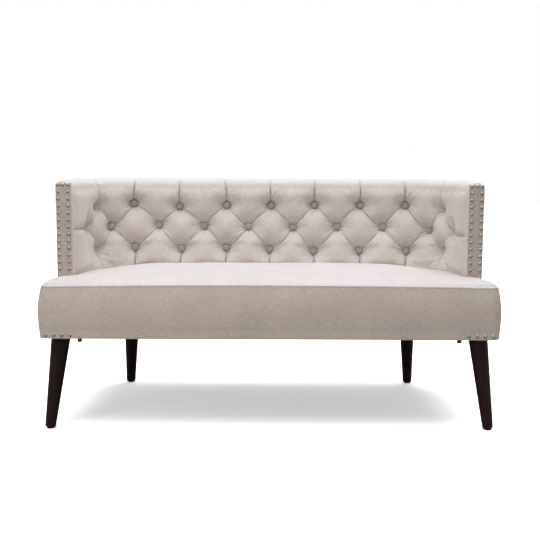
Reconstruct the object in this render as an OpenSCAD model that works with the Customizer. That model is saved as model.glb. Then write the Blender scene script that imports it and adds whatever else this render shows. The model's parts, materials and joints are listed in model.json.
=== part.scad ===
// Button-tufted settee with curved wings on four splayed legs.
// Millimetres, +Z up, +Y towards the back. The origin is on the floor under the middle.

/* [Overall] */
// Width of the seat at its widest
seat_width = 1320; // [1120:10:1700]
// Depth from the seat's front to the outside of the back
overall_depth = 646; // [600:2:760]
// Height of the back and wings
overall_height = 708; // [680:2:780]
// Height of the sewn edge of the seat at its front corners
seat_height = 425; // [405:1:450]
// Height of the underside above the floor
underside_height = 270; // [200:2:300]

/* [Back and wings] */
// From the seat's front to the front of the wings
wing_setback = 249; // [200:1:280]
// Thickness of a wing, over its front panel
wing_thickness = 47.5; // [46:0.5:60]
// How far the outside of a wing stands in from the seat's widest line
wing_inset = 7.5; // [6:0.5:20]
// Thickness of the back at the top row of buttons
back_thickness = 106; // [96:1:130]
// Radius of the inside corners in plan
inner_corner_radius = 150; // [120:1:180]
// Radius of the outside corners in plan
outer_corner_radius = 200; // [180:1:220]
// Lean of the inside back from upright
lean_angle = 6.8; // [3:0.1:9]

/* [Tufting] */
// From the top of the back down to the top row of buttons
top_row_drop = 86; // [76:1:96]
// From the sewn edge of the seat up to the bottom row of buttons
bottom_row_rise = 52.2; // [46:0.2:64]
// Distance between buttons along a row
button_spacing = 150.4; // [140:0.2:154]
// Least length of wing in front of the last button
plain_wing = 110; // [90:1:140]
// From the bottom of a button's dimple to the crown of the cushions round it
tuft_depth = 20; // [10:0.5:26]
// Diameter of a covered button
button_diameter = 22; // [18:0.5:26]
// Height of a button's dome
button_height = 6; // [4:0.5:8]

/* [Seat] */
// Rise of the seat's middle above its sewn edge
seat_crown = 8; // [2:0.5:16]
// Rise of the sewn edge itself, from the corners to the middle of the front
edge_rise = 5; // [0:0.5:10]
// Radius of the seat's front corners in plan
seat_corner_radius = 30; // [22:1:45]
// Thickness of the padded cover over the seat foam, at the sewn edge
seat_pad = 20.5; // [18:0.5:30]

/* [Frame] */
// Thickness of the rails and posts
rail_thickness = 24; // [20:0.5:28]
// Height of the seat rails
rail_height = 64; // [58:1:68]
// Height of the top rails
top_rail_height = 40; // [30:1:50]
// Width of the upright posts, along the rails
post_width = 36; // [30:1:50]
// Height of the corner blocks
block_height = 45; // [35:1:55]
// Thickness of the fibre lining panel inside the back
lining_thickness = 3; // [2:0.5:4]
// Width of the seat webbing
webbing_width = 50; // [40:1:60]
// Thickness of the seat webbing
webbing_thickness = 1.5; // [1:0.1:2]
// Thickness of the felt pad over the webbing
felt_thickness = 3; // [2:0.5:5]

/* [Covers] */
// Thickness of the outside covers with their wadding
cover_thickness = 6.5; // [5:0.5:8]
// Least thickness of the tufted cover with its wadding, under a button
tufted_cover_thickness = 6; // [4:0.5:8]
// Thickness of the padding over the top rails
top_padding = 8; // [6:0.5:9]
// Depth of the tufted cover's turn-over down the outside
turnover_depth = 25; // [20:1:35]
// Thickness of the turned-under edge of the covers
lip_thickness = 1.5; // [1:0.1:2]
// Thickness of the front panel of a wing
panel_thickness = 5; // [4:0.5:8]
// Thickness of the dust cover
dust_cover_thickness = 1; // [0.6:0.1:1.5]

/* [Nails] */
// Diameter of a decorative nail's head
nail_diameter = 11.5; // [9:0.5:13]
// Height of a decorative nail's head
nail_height = 3.6; // [2.5:0.1:5]
// Nails in each column on a wing's front
nail_count = 14; // [6:1:14]
// From the outer column of nails to the outer edge of the wing
nail_edge_out = 8; // [6.5:0.5:10]
// From the inner column of nails to the inner edge of the wing
nail_edge_in = 10; // [9.5:0.5:12]
// Nails on each lower front corner of the seat
seat_nail_count = 4; // [2:1:8]
// Distance between the nails on the seat
seat_nail_spacing = 23; // [15:0.5:30]

/* [Legs] */
// From the seat's side to the middle of a front leg's top
front_leg_inset_side = 55; // [50:1:62]
// From the seat's front to the middle of a front leg's top
front_leg_inset_front = 70; // [62:1:76]
// From the seat's side to the middle of a back leg's top
back_leg_inset_side = 189; // [180:1:240]
// From the back to the middle of a back leg's top
back_leg_inset_back = 66; // [66:1:80]
// Diameter of a leg at its top
leg_top_diameter = 56; // [44:1:60]
// Diameter of a leg at its foot
leg_foot_diameter = 30; // [26:1:40]
// Sideways splay of the front legs
front_splay_side = 31; // [0:1:36]
// Forward splay of the front legs
front_splay_ahead = 29; // [0:1:36]
// Sideways splay of the back legs
back_splay_side = 12; // [0:1:30]
// Backward splay of the back legs
back_splay_behind = 35; // [0:1:40]
// Height of the nylon glide under a leg
glide_height = 3; // [2:0.5:6]
// Size of the square steel plate over a leg
plate_size = 70; // [64:1:76]
// Thickness of the steel plate over a leg
plate_thickness = 2.5; // [2:0.1:4]
// Diameter of the bolt that holds a leg
leg_bolt_diameter = 8; // [6:0.5:10]

/* [Hidden] */
$fn = 48;

// Colours
linen = [0.77, 0.72, 0.68];
linen_shade = [0.70, 0.64, 0.59];
foam_colour = [0.93, 0.88, 0.70];
beech = [0.80, 0.66, 0.47];
espresso = [0.10, 0.07, 0.06];
nickel = [0.62, 0.59, 0.55];
steel = [0.55, 0.56, 0.58];
jute = [0.66, 0.53, 0.36];
black = [0.12, 0.12, 0.12];

// Clearances between neighbours
gap = 0.3;
bore_gap = 0.05;

// Plan of the whole
half_w = seat_width / 2;
border_stuffing = wing_inset + cover_thickness;
front_y = -overall_depth / 2;
back_y = overall_depth / 2;
wing_out = half_w - wing_inset;
wing_in = wing_out - wing_thickness;
wing_y = front_y + wing_setback;

// Inside line through the buttons: straight back, round corner, straight wing.
// The wing's front edge stands in_edge behind this line.
in_edge = 4.5;
line_half = wing_in - in_edge;
line_y = back_y - back_thickness;
in_r = inner_corner_radius;
back_half = line_half - in_r;
in_cy = line_y - in_r;
arc_len = in_r * PI / 2;
wing_end_y = wing_y + panel_thickness + gap;
path_half = back_half + arc_len + in_cy - wing_end_y;
lean = tan(lean_angle);

// Outside line
out_r = outer_corner_radius;
out_cx = wing_out - out_r;
out_cy = back_y - out_r;

// Frame inside the outside covers
frame_out = wing_out - cover_thickness;
frame_in = frame_out - rail_thickness;
frame_back = back_y - cover_thickness;
frame_back_in = frame_back - rail_thickness;
frame_r = out_r - cover_thickness;
frame_front = front_y + border_stuffing;

// Heights
under_z = underside_height;
rail_z = under_z + lip_thickness;
deck_z = rail_z + rail_height;
felt_z = deck_z + 2 * webbing_thickness;
foam_z = felt_z + felt_thickness;
foam_top = seat_height - seat_pad;
top_rail_top = overall_height - top_padding - gap;
top_rail_z = top_rail_top - top_rail_height;
turn_z = overall_height - turnover_depth;
cover_foot = foam_top + 5;
foam_foot = felt_z;

// Tufting. The buttons' rows share the height between the seat and the top evenly, and the
// columns fill the path from wing to wing.
rows = 2;
top_row_height = overall_height - top_row_drop;
row_spacing = (top_row_height - seat_height - bottom_row_rise) / rows;
half_cols = floor((path_half - plain_wing) / button_spacing - 0.5);
dimple = -6;
inside_back = dimple - tufted_cover_thickness;
row_z = [for (r = [0 : rows]) top_row_height - r * row_spacing];
hold_r = 30;
groove_w = 14;
groove_part = 0.55;

// A point on the inside line at path distance s and height z, moved d towards the sitter.
function in_point(s, z, d) =
    let (a = abs(s), sg = s < 0 ? -1 : 1,
         t = a <= back_half ? 0 : a >= back_half + arc_len ? 90 : (a - back_half) / in_r * 180 / PI,
         x = a <= back_half ? a : back_half + (in_r - d) * sin(t),
         run = a > back_half + arc_len ? a - back_half - arc_len : 0,
         y = in_cy - run + (in_r - d) * cos(t) + lean * (z - top_row_height) * cos(t))
    [sg * x, y];

// The point of the outside line that faces path distance s, moved d inwards.
function out_point(s, d) =
    let (a = abs(s), sg = s < 0 ? -1 : 1,
         t = a <= back_half ? 0 : a >= back_half + arc_len ? 90 : (a - back_half) / in_r * 180 / PI,
         x = a <= back_half ? a * out_cx / back_half : out_cx + (out_r - d) * sin(t),
         run = a > back_half + arc_len ? (a - back_half - arc_len) / (path_half - back_half - arc_len) : 0,
         y = out_cy - run * (out_cy - wing_end_y) + (out_r - d) * cos(t))
    [sg * x, y];

// Distance to the nearest whole number, in the same units
function off_whole(v) = abs(v - round(v));

// Distance in mm to the nearest fold at path distance s and height z
function fold_distance(s, z) =
    let (c = abs(s) / button_spacing, r = (top_row_height - z) / row_spacing,
         slant = button_spacing * row_spacing / norm([button_spacing / 2, row_spacing]),
         edge = half_cols + (r < 1 ? r : 2 - r) / 2,
         upright = c <= half_cols + 0.5 ? min(off_whole(c), abs(half_cols - c)) * button_spacing
                                        : button_spacing,
         crossing = min(off_whole(c + r / 2), off_whole(c - r / 2)) * slant,
         level = c >= half_cols + 0.5 ? abs(r - 1) * row_spacing : row_spacing)
    r < 0 || r > rows ? upright
    : c <= edge ? crossing
    : min(level, (c - edge) * slant);

// Distance in mm to the nearest button
function button_distance(s, z) =
    let (c = abs(s) / button_spacing)
    min([for (r = [0 : rows])
        let (odd = r % 2 / 2, last = r % 2 == 1 ? half_cols + 0.5 : half_cols,
             near = min(last, max(odd, round(c - odd) + odd)))
        norm([(c - near) * button_spacing, z - row_z[r]])]);

// How far the tufted face stands towards the sitter from the inside line
function tuft(s, z) =
    let (q = button_distance(s, z), f = fold_distance(s, z),
         to_end = (path_half - abs(s)) / 45,
         to_seat = (z - cover_foot) / 45,
         to_top = (overall_height - z) / 60,
         full = tuft_depth * (1 - exp(-pow(q / hold_r, 2)))
                * (1 - groove_part * exp(-pow(f / groove_w, 2)) * min(1, to_top)))
    dimple + (to_end < 1 ? min(full, -dimple - in_edge + full * sqrt(max(0, to_end))) : full)
    * (to_seat < 1 ? 0.05 + 0.95 * sqrt(max(0, to_seat)) : 1);

// Path distances of the tufted cover's columns, one half and then mirrored
fine_cols = 6;
last_c = half_cols + 0.5;
wing_steps = 3;
half_path = concat(
    [for (k = [0 : last_c * fine_cols]) k / fine_cols * button_spacing],
    [for (k = [1 : wing_steps]) last_c * button_spacing
        + (path_half - last_c * button_spacing) * k / wing_steps]);
path = concat([for (k = [len(half_path) - 1 : -1 : 1]) -half_path[k]], half_path);

// Heights of the tufted face's rows
face_z = concat([cover_foot, (cover_foot + row_z[rows]) / 2],
    [for (k = [rows * 3 : -1 : 0]) top_row_height - k * row_spacing / 3],
    [top_row_height + (overall_height - top_row_height) * 0.45, overall_height - 18]);

// Thickness of the turn-over, less what the flats between columns cut off the round corner
corner_sag = out_r * (1 - cos(button_spacing / fine_cols / in_r * 90 / PI));
turn_thickness = cover_thickness - gap - corner_sag;

// Closed ring of points at one column of the tufted cover
function lift(p, z) = [p[0], p[1], z];
function cover_ring(s) =
    let (top = overall_height, face = tuft(s, top - 18), inside = top - top_padding)
    concat(
        [for (z = face_z) lift(in_point(s, z, tuft(s, z)), z)],
        [lift(in_point(s, top, face - 5), top - 5), lift(in_point(s, top, face - 15), top),
         lift(out_point(s, 18), top), lift(out_point(s, 5), top - 5),
         lift(out_point(s, 0), turn_z), lift(out_point(s, turn_thickness), turn_z),
         lift(out_point(s, turn_thickness), inside),
         lift(in_point(s, inside, inside_back), inside),
         lift(in_point(s, cover_foot, inside_back), cover_foot)]);

// Closed ring of points at one column of the back foam
function foam_ring(s) =
    let (d = inside_back - gap, top = overall_height - top_padding - gap,
         w = cover_thickness + rail_thickness + lining_thickness + gap)
    [lift(in_point(s, foam_foot, d - gap), foam_foot), lift(in_point(s, cover_foot, d), cover_foot),
     lift(in_point(s, top, d), top),
     lift(out_point(s, w), top), lift(out_point(s, w), foam_foot)];

// A solid through equal rings of points, capped at both ends. Each four-sided cell is cut
// along the way that slant gives for its column and its place in the ring.
module skin(rings, slant = function(j, i) (i + j) % 2 == 0) {
    n = len(rings[0]);
    m = len(rings);
    points = [for (ring = rings) each ring];
    sides = [for (j = [0 : m - 2], i = [0 : n - 1])
        let (a = j * n + i, b = j * n + (i + 1) % n)
        each slant(j, i)
            ? [[a, a + n, b + n], [a, b + n, b]]
            : [[a, a + n, b], [a + n, b + n, b]]];
    caps = [[for (i = [0 : n - 1]) i], [for (i = [n - 1 : -1 : 0]) (m - 1) * n + i]];
    polyhedron(points, concat(sides, caps), convexity = 6);
}

// Copies for both sides
module side(right) {
    if (right) children();
    else mirror([1, 0, 0]) children();
}

// Legs: where each one meets its plate, where it stands, and its name
leg_top_z = rail_z - plate_thickness;
block_size = plate_size + 15;
front_leg_x = half_w - front_leg_inset_side;
front_leg_y = front_y + front_leg_inset_front;
back_leg_x = half_w - back_leg_inset_side;
back_leg_y = back_y - back_leg_inset_back;
leg_len = leg_top_z - glide_height;
function leg_top(front) = front ? [front_leg_x, front_leg_y] : [back_leg_x, back_leg_y];
function leg_move(front) = front ? [front_splay_side, -front_splay_ahead]
                                 : [back_splay_side, back_splay_behind];
function leg_foot(front) = leg_top(front) + leg_move(front);

// Puts children on a leg's own axis, z running down from the top face
module on_leg_axis(front) {
    m = leg_move(front);
    tilt = atan(norm(m) / leg_len);
    turn = atan2(m[1], m[0]);
    translate([leg_top(front)[0], leg_top(front)[1], leg_top_z])
        rotate([0, 0, turn]) rotate([0, 180 - tilt, 0]) children();
}

hanger_in_leg = 30;
hanger_in_block = 26;
glide_pin_r = 1.5;
glide_pin_len = 12;

module leg(front, right) {
    m = leg_move(front);
    slant = norm([m[0], m[1], leg_len]);
    r0 = leg_top_diameter / 2;
    r1 = leg_foot_diameter / 2;
    over = r0;
    grow = (r0 - r1) / slant;
    round_r = 4;
    side(right) color(espresso) difference() {
        intersection() {
            on_leg_axis(front) rotate_extrude()
                polygon([[0, -over], [r0 + grow * over, -over], [r1 + grow * round_r, slant - round_r],
                    [r1 - 1.2, slant - 1.2], [r1 - round_r, slant + 0.6], [0, slant + 0.6]]);
            translate([0, -overall_depth, glide_height])
                cube([seat_width, 2 * overall_depth, leg_len]);
        }
        on_leg_axis(front) cylinder(r = leg_bolt_diameter / 2 + bore_gap, h = 2 * hanger_in_leg,
            center = true);
        translate([leg_foot(front)[0], leg_foot(front)[1], 0])
            cylinder(r = glide_pin_r + bore_gap, h = glide_height + glide_pin_len + 1);
    }
}

module each_leg() {
    for (right = [false, true], front = [false, true])
        side(right) {
            $front = front;
            children();
        }
}

module leg_glides() {
    glide_r = leg_foot_diameter / 2 - 5;
    color(black) each_leg() translate([leg_foot($front)[0], leg_foot($front)[1], 0]) {
        cylinder(r = glide_r, h = glide_height);
        cylinder(r = glide_pin_r, h = glide_height + glide_pin_len);
    }
}

screw_inset = 12;
screw_r = 2.2;
screw_len = 22;
module at_plate_screws(front) {
    e = plate_size / 2 - screw_inset;
    translate([leg_top(front)[0], leg_top(front)[1], leg_top_z])
        for (x = [-e, e], y = [-e, e]) translate([x, y, 0]) children();
}

plate_hole_r = leg_bolt_diameter / 2 + 1.2;
module leg_plates() {
    color(steel) each_leg() difference() {
        translate([leg_top($front)[0] - plate_size / 2, leg_top($front)[1] - plate_size / 2, leg_top_z])
            cube([plate_size, plate_size, plate_thickness]);
        translate([leg_top($front)[0], leg_top($front)[1], leg_top_z - 1])
            cylinder(r = plate_hole_r, h = plate_thickness + 2);
        at_plate_screws($front) translate([0, 0, -1])
            cylinder(r = screw_r + 0.3, h = plate_thickness + 2);
    }
}

module hanger_bolts() {
    color(steel) each_leg() on_leg_axis($front)
        translate([0, 0, -hanger_in_block])
            cylinder(r = leg_bolt_diameter / 2, h = hanger_in_block + hanger_in_leg - 1);
}

module plate_screws() {
    color(steel) each_leg() at_plate_screws($front) {
        translate([0, 0, -2]) cylinder(r1 = screw_r + 0.6, r2 = 2 * screw_r, h = 2);
        cylinder(r = screw_r, h = screw_len);
    }
}

// Bolts up through the front rail near its ends, whose heads hang below the seat
corner_bolt_offset = 62;
corner_bolt_x = front_leg_x - corner_bolt_offset;
corner_bolt_y = frame_front + rail_thickness / 2;
corner_bolt_r = 4;
corner_bolt_len = 45;
washer_r = 7.3;
washer_t = 3;
head_width = 12;
head_t = 10.5;
module corner_bolts() {
    color(black) for (right = [false, true]) side(right)
        translate([corner_bolt_x, corner_bolt_y, rail_z]) {
            translate([0, 0, -washer_t]) cylinder(r = washer_r, h = washer_t);
            translate([0, 0, -washer_t - head_t])
                cylinder(r = head_width / sqrt(3), h = head_t, $fn = 6);
            translate([0, 0, -washer_t]) cylinder(r = corner_bolt_r, h = washer_t + corner_bolt_len);
        }
}
module corner_bolt_bore() {
    translate([corner_bolt_x, corner_bolt_y, rail_z - 1])
        cylinder(r = corner_bolt_r + bore_gap, h = corner_bolt_len + 2);
}

// Seat frame
inner_round = seat_corner_radius - border_stuffing;
module front_rail() {
    w = frame_out;
    color(beech) difference() {
        translate([0, 0, rail_z]) linear_extrude(rail_height) {
            translate([-w + inner_round, frame_front])
                square([2 * (w - inner_round), rail_thickness]);
            for (right = [-1, 1]) intersection() {
                translate([right * (w - inner_round), frame_front + inner_round])
                    circle(r = inner_round);
                translate([right > 0 ? 0 : -w - 1, frame_front])
                    square([w + 1, rail_thickness]);
            }
            translate([-w, frame_front + inner_round])
                square([2 * w, rail_thickness - inner_round]);
        }
        for (right = [false, true]) side(right) {
            corner_bolt_bore();
            at_front_block_screw() screw_bore();
            at_seat_nails() nail_bore();
        }
    }
}

module back_rail() {
    color(beech) difference() {
        translate([-out_cx, frame_back_in, rail_z])
            cube([2 * out_cx, rail_thickness, rail_height]);
        for (right = [false, true]) side(right) at_back_block_screw() screw_bore();
    }
}

module side_rail(right) {
    y0 = frame_front + rail_thickness;
    side(right) color(beech) difference() {
        translate([frame_in, y0, rail_z])
            cube([rail_thickness, out_cy - y0, rail_height]);
        at_side_block_screw() screw_bore();
        leg_bores(true);
    }
}

// A quarter ring at an outside corner
module corner_ring(r, w, z, h) {
    translate([out_cx, out_cy, z]) rotate_extrude(angle = 90)
        translate([r - w, 0]) square([w, h]);
}

module corner_rail(right) {
    side(right) color(beech) corner_ring(frame_r, rail_thickness, rail_z, rail_height);
}

cross_rail_x = seat_width / 6;
cross_rail_height = rail_height - 10;
module cross_rail(right) {
    y0 = frame_front + rail_thickness;
    side(right) color(beech) translate([cross_rail_x - rail_thickness / 2, y0, rail_z])
        cube([rail_thickness, frame_back_in - y0, cross_rail_height]);
}

// Corner blocks carry the legs. Each screw runs through a block into a rail,
// its head sunk in a notch or a counterbore.
block_screw_r = 2.5;
block_screw_len = 40;
block_screw_head = 3;
screw_reach = block_screw_len - rail_thickness * 0.75;
screw_margin = 10;
front_block_x = frame_in - block_size;
front_block_y = frame_front + rail_thickness;
back_block_x = back_leg_x - block_size / 2;
back_block_y = frame_back_in - block_size;
screw_z = rail_z + block_height - screw_margin;
module screw_bore() {
    translate([0, 0, -block_screw_len - 1])
        cylinder(r = block_screw_r + bore_gap, h = block_screw_len + 2);
    cylinder(r = 2 * block_screw_r + 0.5, h = block_size);
}
module block_screw() {
    translate([0, 0, -block_screw_len]) cylinder(r = block_screw_r, h = block_screw_len + 0.5);
    cylinder(r = 2 * block_screw_r, h = block_screw_head);
}
// Each places children where a screw's head seats, the screw pointing into the rail
module at_front_block_screw() {
    translate([front_block_x + 2 * screw_margin, front_block_y + screw_reach, screw_z])
        rotate([-90, 0, 0]) children();
}
module at_side_block_screw() {
    translate([frame_in - screw_reach, front_block_y + block_size - screw_margin, screw_z])
        rotate([0, -90, 0]) children();
}
module at_back_block_screw() {
    translate([back_block_x + screw_margin, frame_back_in - screw_reach, screw_z])
        rotate([90, 0, 0]) children();
}

module leg_bores(front) {
    on_leg_axis(front) translate([0, 0, -hanger_in_block - 2])
        cylinder(r = leg_bolt_diameter / 2 + 0.5, h = hanger_in_block + 4);
    at_plate_screws(front) translate([0, 0, -1])
        cylinder(r = screw_r + bore_gap, h = screw_len + 1.5);
}

module front_block(right) {
    side(right) color(beech) difference() {
        translate([front_block_x, front_block_y, rail_z])
            cube([block_size, block_size, block_height]);
        at_front_block_screw() screw_bore();
        at_side_block_screw() screw_bore();
        leg_bores(true);
    }
}

module back_block(right) {
    side(right) color(beech) difference() {
        intersection() {
            translate([back_block_x, back_block_y, rail_z])
                cube([block_size, block_size, block_height]);
            union() {
                translate([0, 0, rail_z - 1])
                    cube([out_cx, frame_back_in, block_height + 2]);
                translate([out_cx, out_cy, rail_z - 1])
                    cylinder(r = frame_r - rail_thickness - gap, h = block_height + 2);
            }
        }
        at_back_block_screw() screw_bore();
        leg_bores(false);
    }
}

module block_screws() {
    color(steel) for (right = [false, true]) side(right) {
        at_front_block_screw() block_screw();
        at_side_block_screw() block_screw();
        at_back_block_screw() block_screw();
    }
}

// Posts and top rails of the wings and back
nail_shank_r = 1;
nail_shank_len = 12;
post_in = line_half - inside_back + gap;
module wing_front_post(right) {
    side(right) color(beech) difference() {
        translate([post_in, wing_end_y, deck_z])
            cube([frame_out - post_in, post_width, top_rail_z - deck_z]);
        at_wing_nails() nail_bore();
    }
}

module wing_rear_post(right) {
    side(right) color(beech) translate([frame_in, out_cy - post_width, deck_z])
        cube([rail_thickness, post_width, top_rail_z - deck_z]);
}

module back_post(x) {
    color(beech) translate([x - post_width / 2, frame_back_in, deck_z])
        cube([post_width, rail_thickness, top_rail_z - deck_z]);
}
back_post_x = out_cx - post_width / 2;

module wing_top_rail(right) {
    side(right) color(beech) difference() {
        union() {
            translate([frame_in, wing_end_y, top_rail_z])
                cube([rail_thickness, out_cy - wing_end_y, top_rail_height]);
            translate([post_in, wing_end_y, top_rail_z])
                cube([frame_out - post_in, post_width, top_rail_height]);
        }
        at_wing_nails() nail_bore();
    }
}

module corner_top_rail(right) {
    side(right) color(beech) corner_ring(frame_r, rail_thickness, top_rail_z, top_rail_height);
}

module back_top_rail() {
    color(beech) translate([-out_cx, frame_back_in, top_rail_z])
        cube([2 * out_cx, rail_thickness, top_rail_height]);
}

// Seat suspension: short straps run front to back between the back posts, and long straps
// lie across them. Each ends on the rails, inside their outline.
strap_inset = 3;
strap_fold = 20;
least_pitch = 105;
straps_between = floor(back_post_x / least_pitch);
strap_pitch = back_post_x / straps_between;
function round_reach(v) = v > 0 ? sqrt(pow(frame_r - strap_inset, 2) - pow(v, 2)) : frame_r - strap_inset;
module short_webbing() {
    y0 = frame_front + strap_inset;
    color(jute) for (right = [false, true], k = [0 : straps_between]) side(right)
        let (x = (k + 0.5) * strap_pitch, y1 = out_cy + round_reach(x + webbing_width / 2 - out_cx))
            translate([x - webbing_width / 2, y0, deck_z])
                cube([webbing_width, y1 - y0, webbing_thickness]);
}

strap_y = [frame_front + (wing_end_y - frame_front) / 3, frame_front + (wing_end_y - frame_front) * 2 / 3,
           (wing_end_y + out_cy) / 2, out_cy + out_r * 0.3];
module long_webbing() {
    color(jute) for (y = strap_y) {
        w = out_cx + round_reach(y + webbing_width / 2 - out_cy);
        translate([-w, y - webbing_width / 2, deck_z + webbing_thickness])
            cube([2 * w, webbing_width, webbing_thickness]);
        for (right = [false, true]) side(right)
            translate([w - strap_fold, y - webbing_width / 2, deck_z])
                cube([strap_fold, webbing_width, webbing_thickness]);
    }
}

// T-shaped plan of the seat inside its border. The stem fits between the wings.
stem_half = line_half + 3.6;
stem_r = in_r + 4;
stem_back = line_y - lean * (top_row_height - foam_top) + 2;
module seat_plan(inset) {
    w = frame_out - inset;
    r = inner_round;
    y0 = frame_front + inset;
    translate([-w, y0 + r]) square([2 * w, wing_y - y0 - r]);
    translate([-w + r, y0]) square([2 * (w - r), r + 1]);
    for (right = [-1, 1]) translate([right * (w - r), y0 + r]) circle(r = r);
    translate([-stem_half + inset, wing_y - 1])
        square([2 * (stem_half - inset), stem_back - stem_r - wing_y + 1]);
    translate([-stem_half + stem_r, wing_y - 1])
        square([2 * (stem_half - stem_r), stem_back - inset - wing_y + 1]);
    for (right = [-1, 1])
        translate([right * (stem_half - stem_r), stem_back - stem_r])
            circle(r = stem_r - inset, $fn = 96);
}
module seat_felt() {
    color(jute) translate([0, 0, felt_z]) linear_extrude(felt_thickness) seat_plan(2);
}
module seat_foam() {
    color(foam_colour) translate([0, 0, foam_z]) linear_extrude(foam_top - foam_z)
        seat_plan(gap);
}

// Height of the sewn edge at x, and of the seat's surface at a point. The surface rises
// behind the front edge, and falls towards the back and beside the wings.
seam_in = 5.5;
edge_t = 4;
back_fall = 10;
side_fall = 9;
crown_at = 0.45;
function seam_z(x) = seat_height + edge_rise * (1 - pow(x / half_w, 2));
function seat_z(x, y) =
    let (v = (y - front_y) / (stem_back - front_y),
         ahead = v < crown_at,
         rise = ahead ? sin(v / crown_at * 90) : cos((v - crown_at) / (1 - crown_at) * 90),
         fall = ahead ? 0 : back_fall * pow((v - crown_at) / (1 - crown_at), 2))
    seam_z(x) + seat_crown * rise * (1 - pow(x / half_w, 2)) - fall
        - side_fall * min(1, v * 2) * pow(x / half_w, 4);

// Rows of the top panel from front to back: [y, half width, whether between the wings]
panel_stop = wing_y - nail_height - 2 * gap;
edge_half = half_w - seam_in;
edge_r = seat_corner_radius - seam_in;
shelf = border_stuffing - seam_in + 0.3;
shelf_angle = acos(1 - shelf / edge_r);
panel_rows = concat(
    [for (t = [0, shelf_angle / 2, shelf_angle, (shelf_angle + 90) / 2, 90])
        [front_y + seam_in + edge_r * (1 - cos(t)), edge_half - edge_r * (1 - sin(t)), false]],
    [for (t = [0.25 : 0.25 : 1])
        let (y0 = front_y + seat_corner_radius)
        [y0 + (panel_stop - y0) * t, edge_half - (wing_inset - seam_in + 0.5) * pow(t, 2), false]],
    [[panel_stop + gap, stem_half, true]],
    [for (t = [90, 75, 60, 45, 28, 14, 0])
        let (p = in_point(back_half + in_r * t * PI / 180, foam_top, -3.4))
        [p[1], p[0], true]]);
panel_steps = 8;
function panel_x(w, k) =
    let (a = abs(k), sg = k < 0 ? -1 : 1)
    sg * (a == panel_steps ? w : a == panel_steps - 1 ? w - shelf
          : (w - shelf - 7) * a / (panel_steps - 2));

// Surface of the top panel, rolling down into the crevice between the wings
function panel_top_z(row, x) =
    let (e = min(row[1] - abs(x), panel_rows[len(panel_rows) - 1][0] - row[0]) / 16,
         low = foam_top + edge_t, z = seat_z(x, row[0]))
    row[2] && e < 1 ? low + (z - low) * sin(90 * max(0, e)) : z;
function panel_low_z(j, k, z) =
    let (on_border = !panel_rows[j][2] && (j < 4 || abs(k) >= panel_steps - 1),
         on_edge = abs(k) == panel_steps || j == len(panel_rows) - 1)
    on_border || on_edge ? z - edge_t : foam_top;

module seat_top_panel() {
    n = 2 * panel_steps + 1;
    m = len(panel_rows);
    top = [for (row = panel_rows, k = [-panel_steps : panel_steps])
        let (x = panel_x(row[1], k)) [x, row[0], panel_top_z(row, x)]];
    low = [for (j = [0 : m - 1], k = [-panel_steps : panel_steps])
        let (p = top[j * n + k + panel_steps]) [p[0], p[1], panel_low_z(j, k, p[2])]];
    cells = [for (j = [0 : m - 2], i = [0 : n - 2]) j * n + i];
    up = [for (c = cells) each c % n < panel_steps
        ? [[c, c + 1 + n, c + 1], [c, c + n, c + 1 + n]]
        : [[c, c + n, c + 1], [c + n, c + 1 + n, c + 1]]];
    down = [for (f = up) [f[2] + m * n, f[1] + m * n, f[0] + m * n]];
    ring = concat([for (i = [0 : n - 2]) i], [for (j = [0 : m - 2]) j * n + n - 1],
        [for (i = [n - 1 : -1 : 1]) (m - 1) * n + i], [for (j = [m - 1 : -1 : 1]) j * n]);
    sides = [for (k = [0 : len(ring) - 1])
        let (a = ring[k], b = ring[(k + 1) % len(ring)])
        each [[a, b, b + m * n], [a, b + m * n, a + m * n]]];
    color(linen) polyhedron(concat(top, low), concat(up, down, sides), convexity = 6);
}

// Outline of the seat border from the left wing round the front to the right wing.
// Each entry is [x, y, outward x, outward y, narrowing towards the wing].
arc_steps = 5;
front_steps = 10;
border_half = concat(
    [for (k = [0 : front_steps / 2]) [(half_w - seat_corner_radius) * k / (front_steps / 2),
        front_y + seat_corner_radius, 0, -1, 0]],
    [for (k = [1 : arc_steps - 1]) let (t = 90 * k / arc_steps)
        [half_w - seat_corner_radius, front_y + seat_corner_radius, sin(t), -cos(t), 0]],
    [for (t = [0 : 0.25 : 1]) let (y0 = front_y + seat_corner_radius)
        [half_w - seat_corner_radius, y0 + (wing_y - gap - y0) * t, 1, 0,
         (wing_inset - 0.5) * pow(t, 2)]]);
border_path = concat([for (k = [len(border_half) - 1 : -1 : 1])
    let (p = border_half[k]) [-p[0], p[1], -p[2], p[3], p[4]]], border_half);
// Profile of the border: [inwards from the widest line, share of the height]. Its foot is
// upright and stands in, so that the nails there don't pass the widest line.
seat_nail_in = nail_height + gap;
foot_in = seat_nail_in + gap;
border_roll = 3.4;
border_profile = [[border_roll, 0.975], [border_roll * 0.2, 0.82], [0, 0.64], [border_roll * 0.25, 0.42],
                  [foot_in, 0.14], [foot_in, 0.03]];
border_lip = border_stuffing + 4;
function border_ring(p) =
    let (r = seat_corner_radius, in = border_stuffing - gap,
         rim_x = abs(p[0]) + (r - seam_in) * abs(p[2]), rim_y = p[1] + (r - seam_in) * p[3],
         top = seat_z(rim_x, rim_y) - edge_t - 2 * gap,
         face = [for (q = border_profile) [max(p[4], q[0]), rail_z + q[1] * (top - rail_z)]])
    [for (q = concat([[in, top], [max(p[4], seam_in) + 0.5, top]], face,
                     [[foot_in + 1.4 * border_roll, under_z], [border_lip, under_z], [border_lip, rail_z], [in, rail_z]]))
        [p[0] + (r - q[0]) * p[2], p[1] + (r - q[0]) * p[3], q[1]]];

module seat_border() {
    color(linen_shade) difference() {
        skin([for (p = border_path) border_ring(p)]);
        for (right = [false, true]) side(right) at_seat_nails() nail_bore();
    }
}

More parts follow.
